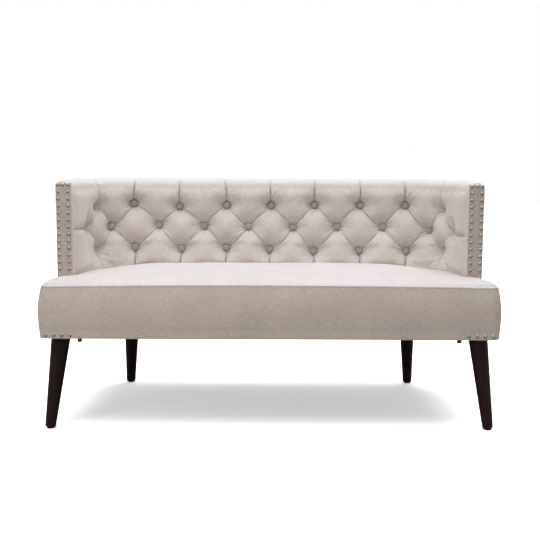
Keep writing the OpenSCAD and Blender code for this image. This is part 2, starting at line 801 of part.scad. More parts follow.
// Stuffing and tufted cover of the back and wings. The faces where they meet are cut alike,
// so that one doesn't reach into the other.
module back_foam() {
    keep = path_half - post_width - gap;
    foam_path = concat([-keep], [for (s = path) if (abs(s) < keep - 5) s], [keep]);
    color(foam_colour) skin([for (s = foam_path) foam_ring(s)], function(j, i) foam_path[j] >= 0);
}

// On the face, true where the nearest fold of the tufting rises to the right
function fold_rises(j, i) =
    i >= len(face_z) - 1 ? path[j] < 0
    : let (c = (path[j] + path[j + 1]) / 2 / button_spacing,
           r = (top_row_height - (face_z[i] + face_z[i + 1]) / 2) / row_spacing)
      off_whole(c + r / 2) < off_whole(c - r / 2);

module tufted_cover() {
    color(linen) skin([for (s = path) cover_ring(s)], function(j, i) fold_rises(j, i));
}

// Places children on a button's seat, z pointing to the sitter
module at_button(c, row) {
    s = c * button_spacing;
    t = min(90, max(0, (abs(s) - back_half) / in_r * 180 / PI));
    p = in_point(s, row_z[row], dimple);
    translate([p[0], p[1], row_z[row]])
        rotate([90, 0, s < 0 ? t : -t]) children();
}

// A button clears the slope of its dimple, which steepens with the depth of the tufting
shank_r = 2;
shank_gap = 0.2 + tuft_depth * 0.04;
button_lift = tuft_depth * button_diameter * 0.015;
module covered_button() {
    r = button_diameter / 2;
    dome = (r * r + button_height * button_height) / (2 * button_height);
    translate([0, 0, button_lift]) intersection() {
        translate([0, 0, button_height - dome]) sphere(r = dome, $fn = 64);
        cylinder(r = r, h = button_height + 1);
    }
    translate([0, 0, shank_gap]) cylinder(r = shank_r, h = button_lift - shank_gap + 1);
}

module button_row(row) {
    odd = row % 2 / 2;
    color(linen_shade) for (c = [-half_cols - odd : half_cols + odd])
        at_button(c, row) covered_button();
}

// Fibre panel inside the back and wings, and the toggles that hold the buttons' twine
module lining_panel() {
    w = cover_thickness + rail_thickness;
    z = foam_foot;
    h = top_rail_top - z;
    y1 = wing_end_y + post_width + gap;
    color([0.45, 0.33, 0.22]) union() {
        translate([-out_cx, back_y - w - lining_thickness, z])
            cube([2 * out_cx, lining_thickness, h]);
        for (right = [false, true]) side(right) {
            corner_ring(out_r - w, lining_thickness, z, h);
            translate([wing_out - w - lining_thickness, y1, z])
                cube([lining_thickness, out_cy - y1, h]);
        }
    }
}

toggle_r = 8;
toggle_t = 2;
// A toggle hangs behind each button that has no post behind it
module tuft_toggles() {
    w = cover_thickness + rail_thickness;
    reach = toggle_r + 1;
    color(black) for (row = [0 : rows], c = [-half_cols - row % 2 / 2 : half_cols + row % 2 / 2])
        let (s = c * button_spacing, p = out_point(s, w), a = abs(p[0]),
             t = min(90, max(0, (abs(s) - back_half) / in_r * 180 / PI)),
             on_back = a > post_width / 2 + reach && a < out_cx - post_width - reach,
             on_corner = a > out_cx + reach)
            if (on_back || on_corner)
                translate([p[0], p[1], row_z[row]]) rotate([-90, 0, s < 0 ? t : -t])
                    cylinder(r = toggle_r, h = toggle_t);
}

// Outside covers, each with its edge turned under the rails
module lip_strip(len) {
    cube([len, border_lip, lip_thickness]);
}

outside_top = turn_z - gap;
module outside_back_cover() {
    color(linen) {
        translate([-out_cx, back_y - cover_thickness, under_z])
            cube([2 * out_cx, cover_thickness, outside_top - under_z]);
        translate([-out_cx, back_y - border_lip, under_z]) lip_strip(2 * out_cx);
    }
}

module outside_corner_cover(right) {
    side(right) color(linen) {
        corner_ring(out_r, cover_thickness, under_z, outside_top - under_z);
        corner_ring(out_r, border_lip, under_z, lip_thickness);
    }
}

module outside_wing_cover(right) {
    foot = panel_foot - gap;
    side(right) color(linen) {
        translate([wing_out - cover_thickness, wing_end_y, under_z])
            cube([cover_thickness, out_cy - wing_end_y, outside_top - under_z]);
        translate([wing_out - cover_thickness, wing_y, under_z])
            cube([cover_thickness, out_cy - wing_y, foot - under_z]);
        translate([wing_out - border_lip, wing_y, under_z])
            cube([border_lip, out_cy - wing_y, lip_thickness]);
    }
}

// Front panel of a wing, with its nails
panel_foot = foam_top + 5;
panel_top = overall_height - 3.5;
panel_round = 9;
module wing_front_panel(right) {
    side(right) color(linen_shade) difference() {
        translate([0, wing_y + panel_thickness, 0]) rotate([90, 0, 0])
            linear_extrude(panel_thickness) {
                translate([wing_in, panel_foot])
                    square([wing_thickness, panel_top - panel_round - panel_foot]);
                translate([wing_in, panel_foot])
                    square([wing_thickness - panel_round, panel_top - panel_foot]);
                translate([wing_out - panel_round, panel_top - panel_round])
                    circle(r = panel_round);
            }
        at_wing_nails() nail_bore();
    }
}

// Nails: a column down each edge of the wing's front panel, and one between their tops.
// The lowest of them shows half above the seat.
nail_top = min(panel_top - nail_diameter / 2, top_rail_top - nail_shank_r) - gap;
nail_foot = seat_z(half_w, wing_y) + 3;
module at_wing_nails() {
    x_out = wing_out - nail_edge_out;
    x_in = wing_in + nail_edge_in;
    pitch = (nail_top - nail_foot) / (nail_count - 1);
    for (k = [0 : nail_count - 1], x = [x_in, x_out])
        translate([x, wing_y, nail_top - k * pitch]) rotate([90, 0, 0]) children();
    translate([(x_in + x_out) / 2, wing_y, nail_top]) rotate([90, 0, 0]) children();
}

module nail() {
    r = nail_diameter / 2;
    dome = (r * r + nail_height * nail_height) / (2 * nail_height);
    intersection() {
        translate([0, 0, nail_height - dome]) sphere(r = dome);
        cylinder(r = r, h = nail_height + 1);
    }
    translate([0, 0, -nail_shank_len]) cylinder(r = nail_shank_r, h = nail_shank_len + 0.5);
}
module nail_bore() {
    translate([0, 0, -nail_shank_len - 0.5])
        cylinder(r = nail_shank_r + bore_gap, h = nail_shank_len + 1);
}

module wing_nails(right) {
    side(right) color(nickel) at_wing_nails() nail();
}

seat_nail_z = under_z + 11.5;
seat_nail_x = half_w - 24.5;
module at_seat_nails() {
    for (k = [0 : seat_nail_count - 1])
        translate([seat_nail_x - k * seat_nail_spacing, front_y + seat_nail_in, seat_nail_z])
            rotate([90, 0, 0]) children();
}
module seat_nails(right) {
    side(right) color(nickel) at_seat_nails() nail();
}

// Cloth under the seat, cut out round the leg plates and the corner bolts
dust_inset = 2;
module dust_cover() {
    w = frame_out - dust_inset;
    y0 = frame_front + dust_inset;
    r = inner_round;
    color(black) difference() {
        translate([0, 0, under_z - dust_cover_thickness])
            linear_extrude(dust_cover_thickness) {
                translate([-w, y0 + r]) square([2 * w, out_cy - y0 - r]);
                translate([-out_cx, y0]) square([2 * out_cx, frame_back - dust_inset - y0]);
                translate([-w + r, y0]) square([2 * (w - r), r + 1]);
                for (right = [-1, 1]) {
                    translate([right * (w - r), y0 + r]) circle(r = r);
                    translate([right * out_cx, out_cy]) circle(r = frame_r - dust_inset, $fn = 96);
                }
            }
        for (right = [false, true]) side(right) {
            for (front = [false, true])
                translate([leg_top(front)[0] - plate_size / 2 - 1,
                           leg_top(front)[1] - plate_size / 2 - 1, under_z - 5])
                    cube([plate_size + 2, plate_size + 2, 10]);
            translate([corner_bolt_x, corner_bolt_y, under_z - 5])
                cylinder(r = washer_r + 2, h = 10);
        }
    }
}

leg(true, false);  // leg_front_left
leg(true, true);  // leg_front_right
leg(false, false);  // leg_back_left
leg(false, true);  // leg_back_right
leg_glides();
leg_plates();
hanger_bolts();
plate_screws();
corner_bolts();
front_rail();
back_rail();
side_rail(false);  // side_rail_left
side_rail(true);  // side_rail_right
corner_rail(false);  // corner_rail_left
corner_rail(true);  // corner_rail_right
cross_rail(false);  // cross_rail_left
cross_rail(true);  // cross_rail_right
front_block(false);  // front_block_left
front_block(true);  // front_block_right
back_block(false);  // back_block_left
back_block(true);  // back_block_right
block_screws();
wing_front_post(false);  // wing_front_post_left
wing_front_post(true);  // wing_front_post_right
wing_rear_post(false);  // wing_rear_post_left
wing_rear_post(true);  // wing_rear_post_right
back_post(-back_post_x);  // back_post_left
back_post(0);  // back_post_centre
back_post(back_post_x);  // back_post_right
wing_top_rail(false);  // wing_top_rail_left
wing_top_rail(true);  // wing_top_rail_right
corner_top_rail(false);  // corner_top_rail_left
corner_top_rail(true);  // corner_top_rail_right
back_top_rail();
long_webbing();
short_webbing();
seat_felt();
seat_foam();
seat_top_panel();
seat_border();
lining_panel();
tuft_toggles();
back_foam();
tufted_cover();
button_row(0);  // buttons_top_row
button_row(1);  // buttons_middle_row
button_row(2);  // buttons_bottom_row
outside_back_cover();
outside_corner_cover(false);  // outside_corner_cover_left
outside_corner_cover(true);  // outside_corner_cover_right
outside_wing_cover(false);  // outside_wing_cover_left
outside_wing_cover(true);  // outside_wing_cover_right
wing_front_panel(false);  // wing_front_panel_left
wing_front_panel(true);  // wing_front_panel_right
wing_nails(false);  // wing_nails_left
wing_nails(true);  // wing_nails_right
seat_nails(false);  // seat_nails_left
seat_nails(true);  // seat_nails_right
dust_cover();
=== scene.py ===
"""Tufted settee with curved wings: covers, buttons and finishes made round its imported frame."""
import json
import math

import bmesh
import bpy
import numpy as np
from mathutils import Matrix, Vector


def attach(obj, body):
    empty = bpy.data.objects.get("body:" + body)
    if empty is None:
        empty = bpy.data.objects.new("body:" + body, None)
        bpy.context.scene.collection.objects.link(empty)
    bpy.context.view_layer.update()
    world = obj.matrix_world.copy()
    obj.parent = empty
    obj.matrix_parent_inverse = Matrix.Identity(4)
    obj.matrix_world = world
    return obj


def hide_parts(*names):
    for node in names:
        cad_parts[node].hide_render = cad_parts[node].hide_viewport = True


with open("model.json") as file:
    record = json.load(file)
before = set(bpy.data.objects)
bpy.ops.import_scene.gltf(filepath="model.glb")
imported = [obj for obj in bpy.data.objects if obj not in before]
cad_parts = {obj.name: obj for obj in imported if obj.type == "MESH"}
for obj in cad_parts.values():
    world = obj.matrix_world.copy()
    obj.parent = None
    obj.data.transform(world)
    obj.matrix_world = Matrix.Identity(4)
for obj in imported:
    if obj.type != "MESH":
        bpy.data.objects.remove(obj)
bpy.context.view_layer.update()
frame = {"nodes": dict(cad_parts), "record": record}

bl_info = {
    "name": "Tufted settee",
    "version": (1, 0, 0),
    "blender": (4, 5, 0),
    "location": "View3D > Sidebar > Settee",
    "description": "Makes the covers, buttons and finishes of a tufted settee round its frame",
    "category": "Object",
}

# Sizes in metres, in the frame's own coordinates: the floor is z = 0 and the sitter faces -Y.
WIDTH, DEPTH, HEIGHT = 1.320, 0.646, 0.708
HALF_W, FRONT, BACK = WIDTH / 2, -DEPTH / 2, DEPTH / 2
UNDER, RAIL_Z = 0.270, 0.2715
SEAT_H, EDGE_RISE, CROWN = 0.425, 0.005, 0.008
SEAM_IN, LIP_IN, SEAT_R = 0.0085, 0.0076, 0.030
WING_OUT, WING_IN, WING_Y = 0.6525, 0.605, -0.074
PANEL_T, PANEL_FOOT, PANEL_TOP, PANEL_R = 0.005, 0.4095, 0.7045, 0.009
LINE_HALF, LINE_Y, IN_R, LEAN = 0.6005, 0.217, 0.150, math.tan(math.radians(6.8))
BACK_HALF, IN_CY, ARC = LINE_HALF - IN_R, LINE_Y - IN_R, IN_R * math.pi / 2
WING_END = WING_Y + PANEL_T + 0.0003
PATH_HALF = BACK_HALF + ARC + IN_CY - WING_END
OUT_R = 0.200
OUT_CX, OUT_CY = WING_OUT - OUT_R, BACK - OUT_R
TURN_Z, OUTSIDE_TOP = 0.683, 0.6826
COVER_FOOT, FOAM_TOP = 0.4095, 0.4045
STEM_HALF, STEM_BACK = 0.6041, 0.1931
# Tufting: three rows of buttons, half a spacing apart from row to row
SPACING, TOP_ROW, ROW_STEP, HALF_COLS = 0.1504, 0.622, 0.0724, 4
MID_ROW, LOW_ROW = TOP_ROW - ROW_STEP, TOP_ROW - 2 * ROW_STEP
DIMPLE, INSIDE_BACK, IN_EDGE = -0.006, -0.012, 0.0045
BUTTON_SEAT = 0.0066
# How far hand work set each button beside and above its even place, in mm, from left to right
SET_OFF = {
    TOP_ROW: ((3, -2), (-3, 5.5), (-1, -5), (6.5, 0), (4.5, 0), (-1, 2), (1, 1.5), (1.5, 2), (-8, -7)),
    MID_ROW: ((0, 4.5), (-2.5, 1.5), (6, 6.5), (7, 3.5), (3.5, 1.5), (2, -1), (-1, 1.5), (2, 1.5), (5, -8),
              (0, -6)),
    LOW_ROW: ((4, -2), (1.5, 4.5), (6, 0), (6, 4), (-1, -1), (-4, -6), (-1.5, -5), (6, -5), (-4, -1)),
}
# How far each slanting fold bows up between its two buttons, in mm, from left to right
UP_BOW = (-14, 9, -10, 10, 0, 3.5, 6, -8, 0, -1, 0, -4.5, 7, -16, 9, -12, 5, -13)
LOW_BOW = (13, -15, -3, -4.5, -8, 0, -1, -7, 1, -15, -1.5, -5.5, -5, -3, -6, 5, -5, 14)
MM = 0.001
CLOTH_MAP = "cloth"
WELD = 1e-6


# Shapes that several pieces share

def in_point(s, z, d):
    """Point at path distance s of the line through the buttons and height z, moved d to the sitter."""
    s, z, d = np.broadcast_arrays(s, z, d)
    a = np.abs(s)
    t = np.clip((a - BACK_HALF) / IN_R, 0, math.pi / 2)
    x = np.where(a <= BACK_HALF, a, BACK_HALF + (IN_R - d) * np.sin(t))
    run = np.maximum(a - BACK_HALF - ARC, 0)
    y = IN_CY - run + (IN_R - d + LEAN * (z - TOP_ROW)) * np.cos(t)
    return np.stack([np.where(s < 0, -x, x), y, z], -1)


def out_point(s, z, d):
    """Point of the outside line that faces path distance s, at height z, moved d inwards."""
    s, z, d = np.broadcast_arrays(s, z, d)
    a = np.abs(s)
    t = np.clip((a - BACK_HALF) / IN_R, 0, math.pi / 2)
    x = np.where(a <= BACK_HALF, a * OUT_CX / BACK_HALF, OUT_CX + (OUT_R - d) * np.sin(t))
    run = np.maximum(a - BACK_HALF - ARC, 0) / (PATH_HALF - BACK_HALF - ARC)
    y = OUT_CY - run * (OUT_CY - WING_END) + (OUT_R - d) * np.cos(t)
    return np.stack([np.where(s < 0, -x, x), y, z], -1)


def spaced(count, near, start=True):
    """count + 1 shares from 0 to 1, closer together at the end, and at the start too."""
    k = (np.arange(count) + 0.5) / count
    away = np.minimum(k, 1 - k) if start else 1 - k
    step = near + (1 - near) * np.clip(away / 0.32, 0, 1)
    return np.concatenate([[0], np.cumsum(step) / step.sum()])


def soft_noise(u, v, seed):
    """Smooth noise from -1 to 1, one cell a unit, the same on every run."""
    lattice = np.random.default_rng(seed).uniform(-1, 1, (64, 64))
    u, v = np.broadcast_arrays(np.asarray(u, float), np.asarray(v, float))
    iu, iv = np.floor(u).astype(int), np.floor(v).astype(int)
    fu, fv = u - iu, v - iv
    fu, fv = fu * fu * (3 - 2 * fu), fv * fv * (3 - 2 * fv)
    at = lambda i, j: lattice[i % 64, j % 64]
    return ((at(iu, iv) * (1 - fu) + at(iu + 1, iv) * fu) * (1 - fv)
            + (at(iu, iv + 1) * (1 - fu) + at(iu + 1, iv + 1) * fu) * fv)


def smooth(x):
    """Ramp from 0 to 1 with soft ends."""
    x = np.clip(x, 0, 1)
    return x * x * (3 - 2 * x)


def bell(x, width):
    """Soft bump of height 1 round x = 0."""
    return np.exp(-np.square(x / width))


def rounded(points, times):
    """An open line of points with its corners cut softer."""
    p = np.asarray(points, float)
    for _ in range(times):
        mid = np.stack([0.75 * p[:-1] + 0.25 * p[1:], 0.25 * p[:-1] + 0.75 * p[1:]], 1)
        p = np.concatenate([p[:1], mid.reshape(-1, p.shape[1]), p[-1:]])
    return p


def piece(name, verts, faces, uvs, material):
    """A mesh object of the settee from points, faces and the cloth's own coordinates."""
    mesh = bpy.data.meshes.new(name)
    mesh.from_pydata(np.asarray(verts, float).reshape(-1, 3).tolist(), [], faces)
    flat = np.asarray(uvs, float).reshape(-1, 2)
    layer = mesh.uv_layers.new(name=CLOTH_MAP)
    index = np.empty(len(mesh.loops), np.int32)
    mesh.loops.foreach_get("vertex_index", index)
    layer.data.foreach_set("uv", flat[index].astype(np.float32).ravel())
    bm = bmesh.new()
    bm.from_mesh(mesh)
    bmesh.ops.remove_doubles(bm, verts=bm.verts, dist=WELD)
    bmesh.ops.dissolve_degenerate(bm, edges=bm.edges, dist=WELD)
    bmesh.ops.recalc_face_normals(bm, faces=bm.faces)
    bm.to_mesh(mesh)
    bm.free()
    mesh.polygons.foreach_set("use_smooth", [True] * len(mesh.polygons))
    mesh.update()
    obj = bpy.data.objects.new(name, mesh)
    bpy.context.scene.collection.objects.link(obj)
    obj.data.materials.append(material)
    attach(obj, "root")
    return obj


def net(rows, cols, wrap_rows=False, caps=False):
    """Faces of a net of points, columns first; wrap_rows closes each column into a ring."""
    n = rows if wrap_rows else rows - 1
    i, j = np.meshgrid(np.arange(cols - 1), np.arange(n), indexing="ij")
    up = (j + 1) % rows
    quads = np.stack([i * rows + j, (i + 1) * rows + j, (i + 1) * rows + up, i * rows + up], -1)
    faces = quads.reshape(-1, 4).tolist()
    if caps:
        faces.append(list(range(rows)))
        faces.append([(cols - 1) * rows + k for k in range(rows - 1, -1, -1)])
    return faces


def pad(front, back):
    """Points and faces of a pad: a front net, a back net and the rim between them."""
    cols, rows = front.shape[:2]
    size = rows * cols
    faces = net(rows, cols)
    faces += [[a + size for a in reversed(f)] for f in faces]
    ring = (list(range(rows)) + [i * rows + rows - 1 for i in range(1, cols)]
            + [(cols - 1) * rows + j for j in range(rows - 2, -1, -1)]
            + [i * rows for i in range(cols - 2, 0, -1)])
    faces += [[a, b, b + size, a + size] for a, b in zip(ring, ring[1:] + ring[:1])]
    return np.concatenate([front.reshape(-1, 3), back.reshape(-1, 3)]), faces


def distances(line):
    """Distance of each point along a line from its first one."""
    return np.concatenate([[0], np.cumsum(np.linalg.norm(np.diff(line, axis=0), axis=1))])


def run_length(points):
    """Distance along each column of points."""
    step = np.linalg.norm(np.diff(points, axis=1), axis=2)
    return np.concatenate([np.zeros((len(points), 1)), np.cumsum(step, axis=1)], 1)


# Finishes

class Nodes:
    """Short way to write a material's node tree."""

    def __init__(self, name):
        self.material = bpy.data.materials.new(name)
        self.material.use_nodes = True
        self.tree = self.material.node_tree
        self.shader = self.tree.nodes["Principled BSDF"]

    def add(self, kind, inputs=(), **settings):
        """A new node; an input is a number or another node's output."""
        node = self.tree.nodes.new("ShaderNode" + kind)
        for key, value in settings.items():
            setattr(node, key, value)
        for socket, value in dict(inputs).items():
            if isinstance(value, bpy.types.NodeSocket):
                self.tree.links.new(value, node.inputs[socket])
            else:
                node.inputs[socket].default_value = value
        return node

    def link(self, value, socket):
        self.tree.links.new(value, self.shader.inputs[socket])

    def surface(self, **values):
        for key, value in values.items():
            self.shader.inputs[key.replace("_", " ")].default_value = value

    def stretched(self, source, scale, detail=2.0, **more):
        """Noise drawn out along one way."""
        at = self.add("Mapping", {"Vector": source, "Scale": scale}).outputs[0]
        return self.add("TexNoise", {"Vector": at, "Scale": 1.0, "Detail": detail, **more}).outputs[0]

    def math(self, operation, a, b):
        return self.add("Math", {0: a, 1: b}, operation=operation).outputs[0]

    def ranged(self, value, out, source=(0.0, 1.0)):
        """A value stretched from one range to another."""
        return self.add("MapRange", {"Value": value, "From Min": source[0], "From Max": source[1],
                                     "To Min": out[0], "To Max": out[1]}).outputs[0]

    def bumpy(self, height, strength, distance):
        bump = self.add("Bump", {"Height": height, "Strength": strength, "Distance": distance})
        self.link(bump.outputs[0], "Normal")

    def mixed(self, share, low, high):
        """A colour between two, from the middle part of a noise."""
        ramp = self.add("ValToRGB", {"Fac": share})
        for end, place, colour in zip(ramp.color_ramp.elements, (0.3, 0.7), (low, high)):
            end.position, end.color = place, (*colour, 1)
        return ramp.outputs[0]


def tone(colour, by):
    """A colour made darker or lighter."""
    return tuple(min(1.0, c * by) for c in colour)


def linen(name, colour, thread, contrast, nap, painted_lit=None):
    """Plain woven linen: crossed threads, thick and thin yarns, a faint nap, and a painted highlight tone
    where it faces up.
    """
    n = Nodes(name)
    at = n.add("UVMap", uv_map=CLOTH_MAP).outputs[0]
    wave = 0.314 / thread
    warp, weft = (n.add("TexWave", {"Vector": at, "Scale": scale, "Distortion": 1.2, "Detail": 1.0,
                                    "Detail Scale": 0.4}, bands_direction=way).outputs[1]
                  for scale, way in ((wave, "X"), (wave * 0.93, "Y")))
    threads = n.math("MULTIPLY", warp, weft)
    along = n.stretched(at, (55, 620, 1))
    across = n.stretched(at, (700, 60, 1))
    yarns = n.math("ADD", along, across)
    cloud = n.stretched(at, (9, 9, 9), 3.0)
    mottle = n.ranged(cloud, (-0.12, 0.12), (0.3, 0.7))
    share = n.ranged(yarns, (0.2, 0.8), (0.75, 1.25))
    share = n.math("ADD", share, mottle)
    dyed = n.mixed(share, tone(colour, 1 - contrast), tone(colour, 1 + contrast))
    # Painted highlight tone: where the cloth faces up, its colour is mixed towards a paler, greyer linen, as
    # lit cloth looks
    if painted_lit:
        up = n.add("SeparateXYZ", {0: n.add("TexCoord").outputs["Normal"]}).outputs[2]
        light = n.ranged(up, (0.0, 1.0), (0.05, 0.9))
        pale = n.mixed(share, tone(painted_lit, 1 - contrast), tone(painted_lit, 1 + contrast))
        dyed = n.add("Mix", {0: light, 6: dyed, 7: pale}, data_type="RGBA").outputs[2]
    n.link(dyed, "Base Color")
    n.bumpy(n.math("ADD", yarns, threads), 0.45, thread * 0.35)
    n.link(n.ranged(yarns, (0.84, 0.98), (0.7, 1.3)), "Roughness")
    n.surface(Sheen_Weight=nap, Sheen_Roughness=0.45, Specular_IOR_Level=0.15)
    return n.material


def timber(name, dark, light, rough, along):
    """Wood with grain drawn out along one axis, stained or plain."""
    n = Nodes(name)
    at = n.add("TexCoord").outputs["Object"]
    stretch = [26.0, 26.0, 26.0]
    stretch[along] = 1.8
    rings = n.stretched(at, stretch, 4.0, Distortion=0.6)
    pores = n.stretched(at, [9 * scale for scale in stretch])
    share = n.math("ADD", rings, n.math("MULTIPLY", pores, 0.35))
    share = n.math("SUBTRACT", share, 0.17)
    n.link(n.mixed(share, dark, light), "Base Color")
    n.link(n.ranged(rings, (rough - 0.08, rough + 0.08)), "Roughness")
    n.bumpy(pores, 0.25, 0.0002)
    n.surface(Specular_IOR_Level=0.14)
    return n.material


def metal(name, dark, light, rough, grain=160.0):
    """Plated metal with a cloudy patina."""
    n = Nodes(name)
    at = n.add("TexCoord").outputs["Object"]
    cloud = n.stretched(at, (grain, grain, grain), 3.0)
    n.link(n.mixed(cloud, dark, light), "Base Color")
    n.link(n.ranged(cloud, (rough - 0.1, rough + 0.12)), "Roughness")
    n.bumpy(cloud, 0.15, 0.0002)
    n.surface(Metallic=1.0)
    return n.material


def grainy(name, dark, light, rough, scale, bump):
    """Matte stuff with a fine uneven surface: foam, felt, board, moulded plastic or strap."""
    n = Nodes(name)
    at = n.add("TexCoord").outputs["Object"]
    coarse = n.stretched(at, (scale, scale, scale), 4.0)
    n.link(n.mixed(coarse, dark, light), "Base Color")
    n.bumpy(coarse, bump, 0.0005)
    n.surface(Roughness=rough)
    return n.material


LINEN = (0.600, 0.540, 0.495)
# Painted highlight tone: the cover's linen where it faces up, paler and greyer, as lit cloth looks
PAINTED_LIT_LINEN = (0.545, 0.520, 0.502)
# Painted shade: the border and wing fronts are the same linen made warmer and a little darker, as it looks in
# shade
PAINTED_SHADE_FRONT_LINEN = (0.603, 0.515, 0.447)
# Painted lit tone: the seat top is the same linen made greyer and darker, as it looks under the full light
# from above
PAINTED_LIT_SEAT_LINEN = (0.537, 0.508, 0.506)
# Painted shade: the buttons are covered in the same linen, made darker as it looks in their dimples
PAINTED_SHADE_BUTTON_LINEN = (0.385, 0.315, 0.272)
# Painted shade: the wing fronts' linen is made darker still than the border's
WING_PAINTED_SHADE = 0.81
MATERIALS = {}


def material(slot):
    """The finish of a material slot, made when first asked for."""
    if slot not in MATERIALS:
        s = bpy.context.scene.settee_finish
        cloth, front, seat, button, stain, nickel = (tuple(colour) for colour in (
            s.linen_colour, s.front_painted_shade_colour, s.seat_painted_lit_colour, s.button_painted_shade_colour, s.leg_colour, s.nail_colour))
        make, *values = {
            # The cover's linen gets a painted highlight tone where it faces up
            "linen": (linen, cloth, s.thread, 0.085, 0.25, PAINTED_LIT_LINEN),
            # Painted shade: the border's linen is a warmer copy of the cover's linen
            "linen_front": (linen, front, s.thread, 0.11, 0.25),
            # Painted shade: the wing fronts are the border's linen made darker
            "linen_wing": (linen, tone(front, WING_PAINTED_SHADE), s.thread, 0.11, 0.25),
            # Painted lit tone: the seat top's linen is a greyer, darker copy of the cover's linen
            "linen_seat": (linen, seat, s.thread, 0.085, 0.25),
            # Painted shade: the buttons' linen is a darker copy of the cover's linen
            "linen_button": (linen, button, s.thread, 0.10, 0.2),
            "espresso_wood": (timber, tone(stain, 0.5), tone(stain, 1.7), 0.5, 2),
            "nail_nickel": (metal, tone(nickel, 0.78), tone(nickel, 1.22), 0.58, 420.0),
            "plain_steel": (metal, (0.42, 0.43, 0.45), (0.6, 0.61, 0.62), 0.38),
            "black_metal": (metal, (0.03, 0.028, 0.027), (0.07, 0.066, 0.062), 0.5),
            "glide_nylon": (grainy, (0.006,) * 3, (0.014,) * 3, 0.6, 900.0, 0.15),
            "frame_wood": (timber, (0.47, 0.30, 0.15), (0.66, 0.47, 0.27), 0.62, 0),
            "strap_jute": (grainy, (0.22, 0.14, 0.07), (0.40, 0.27, 0.14), 0.95, 700.0, 0.6),
            "felt": (grainy, (0.12, 0.09, 0.07), (0.26, 0.21, 0.16), 0.98, 500.0, 0.7),
            "foam": (grainy, (0.72, 0.64, 0.38), (0.86, 0.78, 0.52), 0.95, 1100.0, 0.5),
            "fibreboard": (grainy, (0.12, 0.07, 0.035), (0.20, 0.12, 0.065), 0.85, 300.0, 0.4),
            "toggle_plastic": (grainy, (0.01,) * 3, (0.02,) * 3, 0.5, 800.0, 0.1),
            "dust_cloth": (linen, (0.022, 0.022, 0.023), 0.0012, 0.25, 0.1),
        }[slot]
        MATERIALS[slot] = make(slot, *values)
    return MATERIALS[slot]


# The tufted cover and its buttons

# How the cloth is pulled, folded and lapped: distances in metres, all else shares
FRONT_FOLD_LIFT = (0.013, -0.005)                   # where the left and right wing's fold meets its front
SET_OFF_REACH = 0.045                               # how far a hand-set button takes the cloth with it
PULL_BLEND = 0.006                                  # over this the pulls of two buttons run together
PULL_ACROSS, PULL_ACROSS_TOP = 0.80, 1.05           # how soon a pull ends sideways, and at the top row
PULL_DOWN, PULL_UP, PULL_UP_TOP = 0.85, 1.1, 2.1    # below a button, above it, and above the top row
HEAD_FADE = 0.35                                    # what is left of an upright fold at the top edge
CORNER_DEEP, CORNER_REACH = 1.3, 0.018              # extra depth beside the crease of a rear corner
FOOT_DEEP, FOOT_REACH = 0.45, 0.012                 # and beside the upright folds of the lowest band
UNEVEN = 0.06                                       # how much the pillows' stuffing differs
WING_THIN, WING_REACH = 0.26, 0.080                 # the wings are stuffed less; their fullness fades
HEAD_TIP, MID_TIP, TAUT = 0.0085, 0.0065, 0.0030    # pillows lean in to their tips; the taut line
GROOVE_FOOT, GROOVE_HEAD, GROOVE_WIDE = 0.0045, 0.0030, 0.0027
RIDGE, RIDGE_AT, SECOND_AT = 0.0013, 0.0052, 0.0082  # a double fold's ridge and its second crease
END_ROOM, THIN_ROOM, SEAT_ROOM = 0.045, 0.11, 0.026  # the stuffing thins out over these
LEAN_BACK, LEAN_FROM = 0.011, 0.650                 # the top leans back above this height
SWELL_AT, SWELL_WIDE = 0.635, 0.075                 # where the cover fills a corner's foot
OUTER_ROLL, COVER_T = 0.018, 0.0085                 # the turn-over's outer edge; how thick the cover is
TOP_NOTCH, TOP_WAVE, WING_TOP_PUFF = 0.0012, 0.0006, 0.0028
LAP_AT, WING_LAP_AT = 0.0025, 0.0055                # how far from a fold its lap is largest
CREASES = 12                                        # small creases round each button
JOINED, HOLD_STEPS = 1e5, 20                        # the simulation's points fall together within 1 / JOINED
LEAN_IN = 0.001                                     # low down, the corners' creases run inwards


def saw(c):
    """1 on whole columns and 0 half way between them."""
    return np.abs((c % 1) - 0.5) * 2


def fold_lines(s, p):
    """Heights of the lower and the upper slanting fold at path distance s."""
    c = s / SPACING
    inside = np.abs(c) < HALF_COLS + 0.5
    half = np.floor(2 * c).astype(int)
    sag = np.where(inside, np.sin(math.pi * (2 * c - half)), 0) * p.bow * MM
    at = np.clip(half + len(UP_BOW) // 2, 0, len(UP_BOW) - 1)
    rise = np.where(inside, saw(c), 0)
    low = MID_ROW - ROW_STEP * rise + sag * np.array(LOW_BOW)[at]
    up = MID_ROW + ROW_STEP * rise + sag * np.array(UP_BOW)[at]
    last = (HALF_COLS + 0.5) * SPACING
    out = np.clip((np.abs(s) - last) / (PATH_HALF - last), 0, 1)
    level = np.where(s < 0, *FRONT_FOLD_LIFT) * out
    return np.minimum(low + level, up + level), up + level


def buttons():
    """Column and height of each button, row by row from the top."""
    return [(c, z) for row, z in enumerate((TOP_ROW, MID_ROW, LOW_ROW))
            for c in np.arange(-HALF_COLS - row % 2 / 2, HALF_COLS + row % 2 / 2 + 0.1)]


def set_off(s, z):
    """How far the hand-set buttons pull the cloth beside and above its even place."""
    spots = [(c * SPACING, h) for c, h in buttons()]
    moves = np.array([m for h in (TOP_ROW, MID_ROW, LOW_ROW) for m in SET_OFF[h]]) * MM
    s, z = np.broadcast_arrays(s, z)
    total, dx, dz = 0.02, 0.0, 0.0
    for (bs, bz), (mx, mz) in zip(spots, moves):
        w = np.exp(-(np.square(s - bs) + np.square(z - bz)) / SET_OFF_REACH ** 2)
        total, dx, dz = total + w, dx + w * mx, dz + w * mz
    low = np.clip((z - COVER_FOOT) / 0.05, 0, 1) * np.clip((HEIGHT - z) / 0.06, 0, 1)
    return dx / total * low, dz / total * low


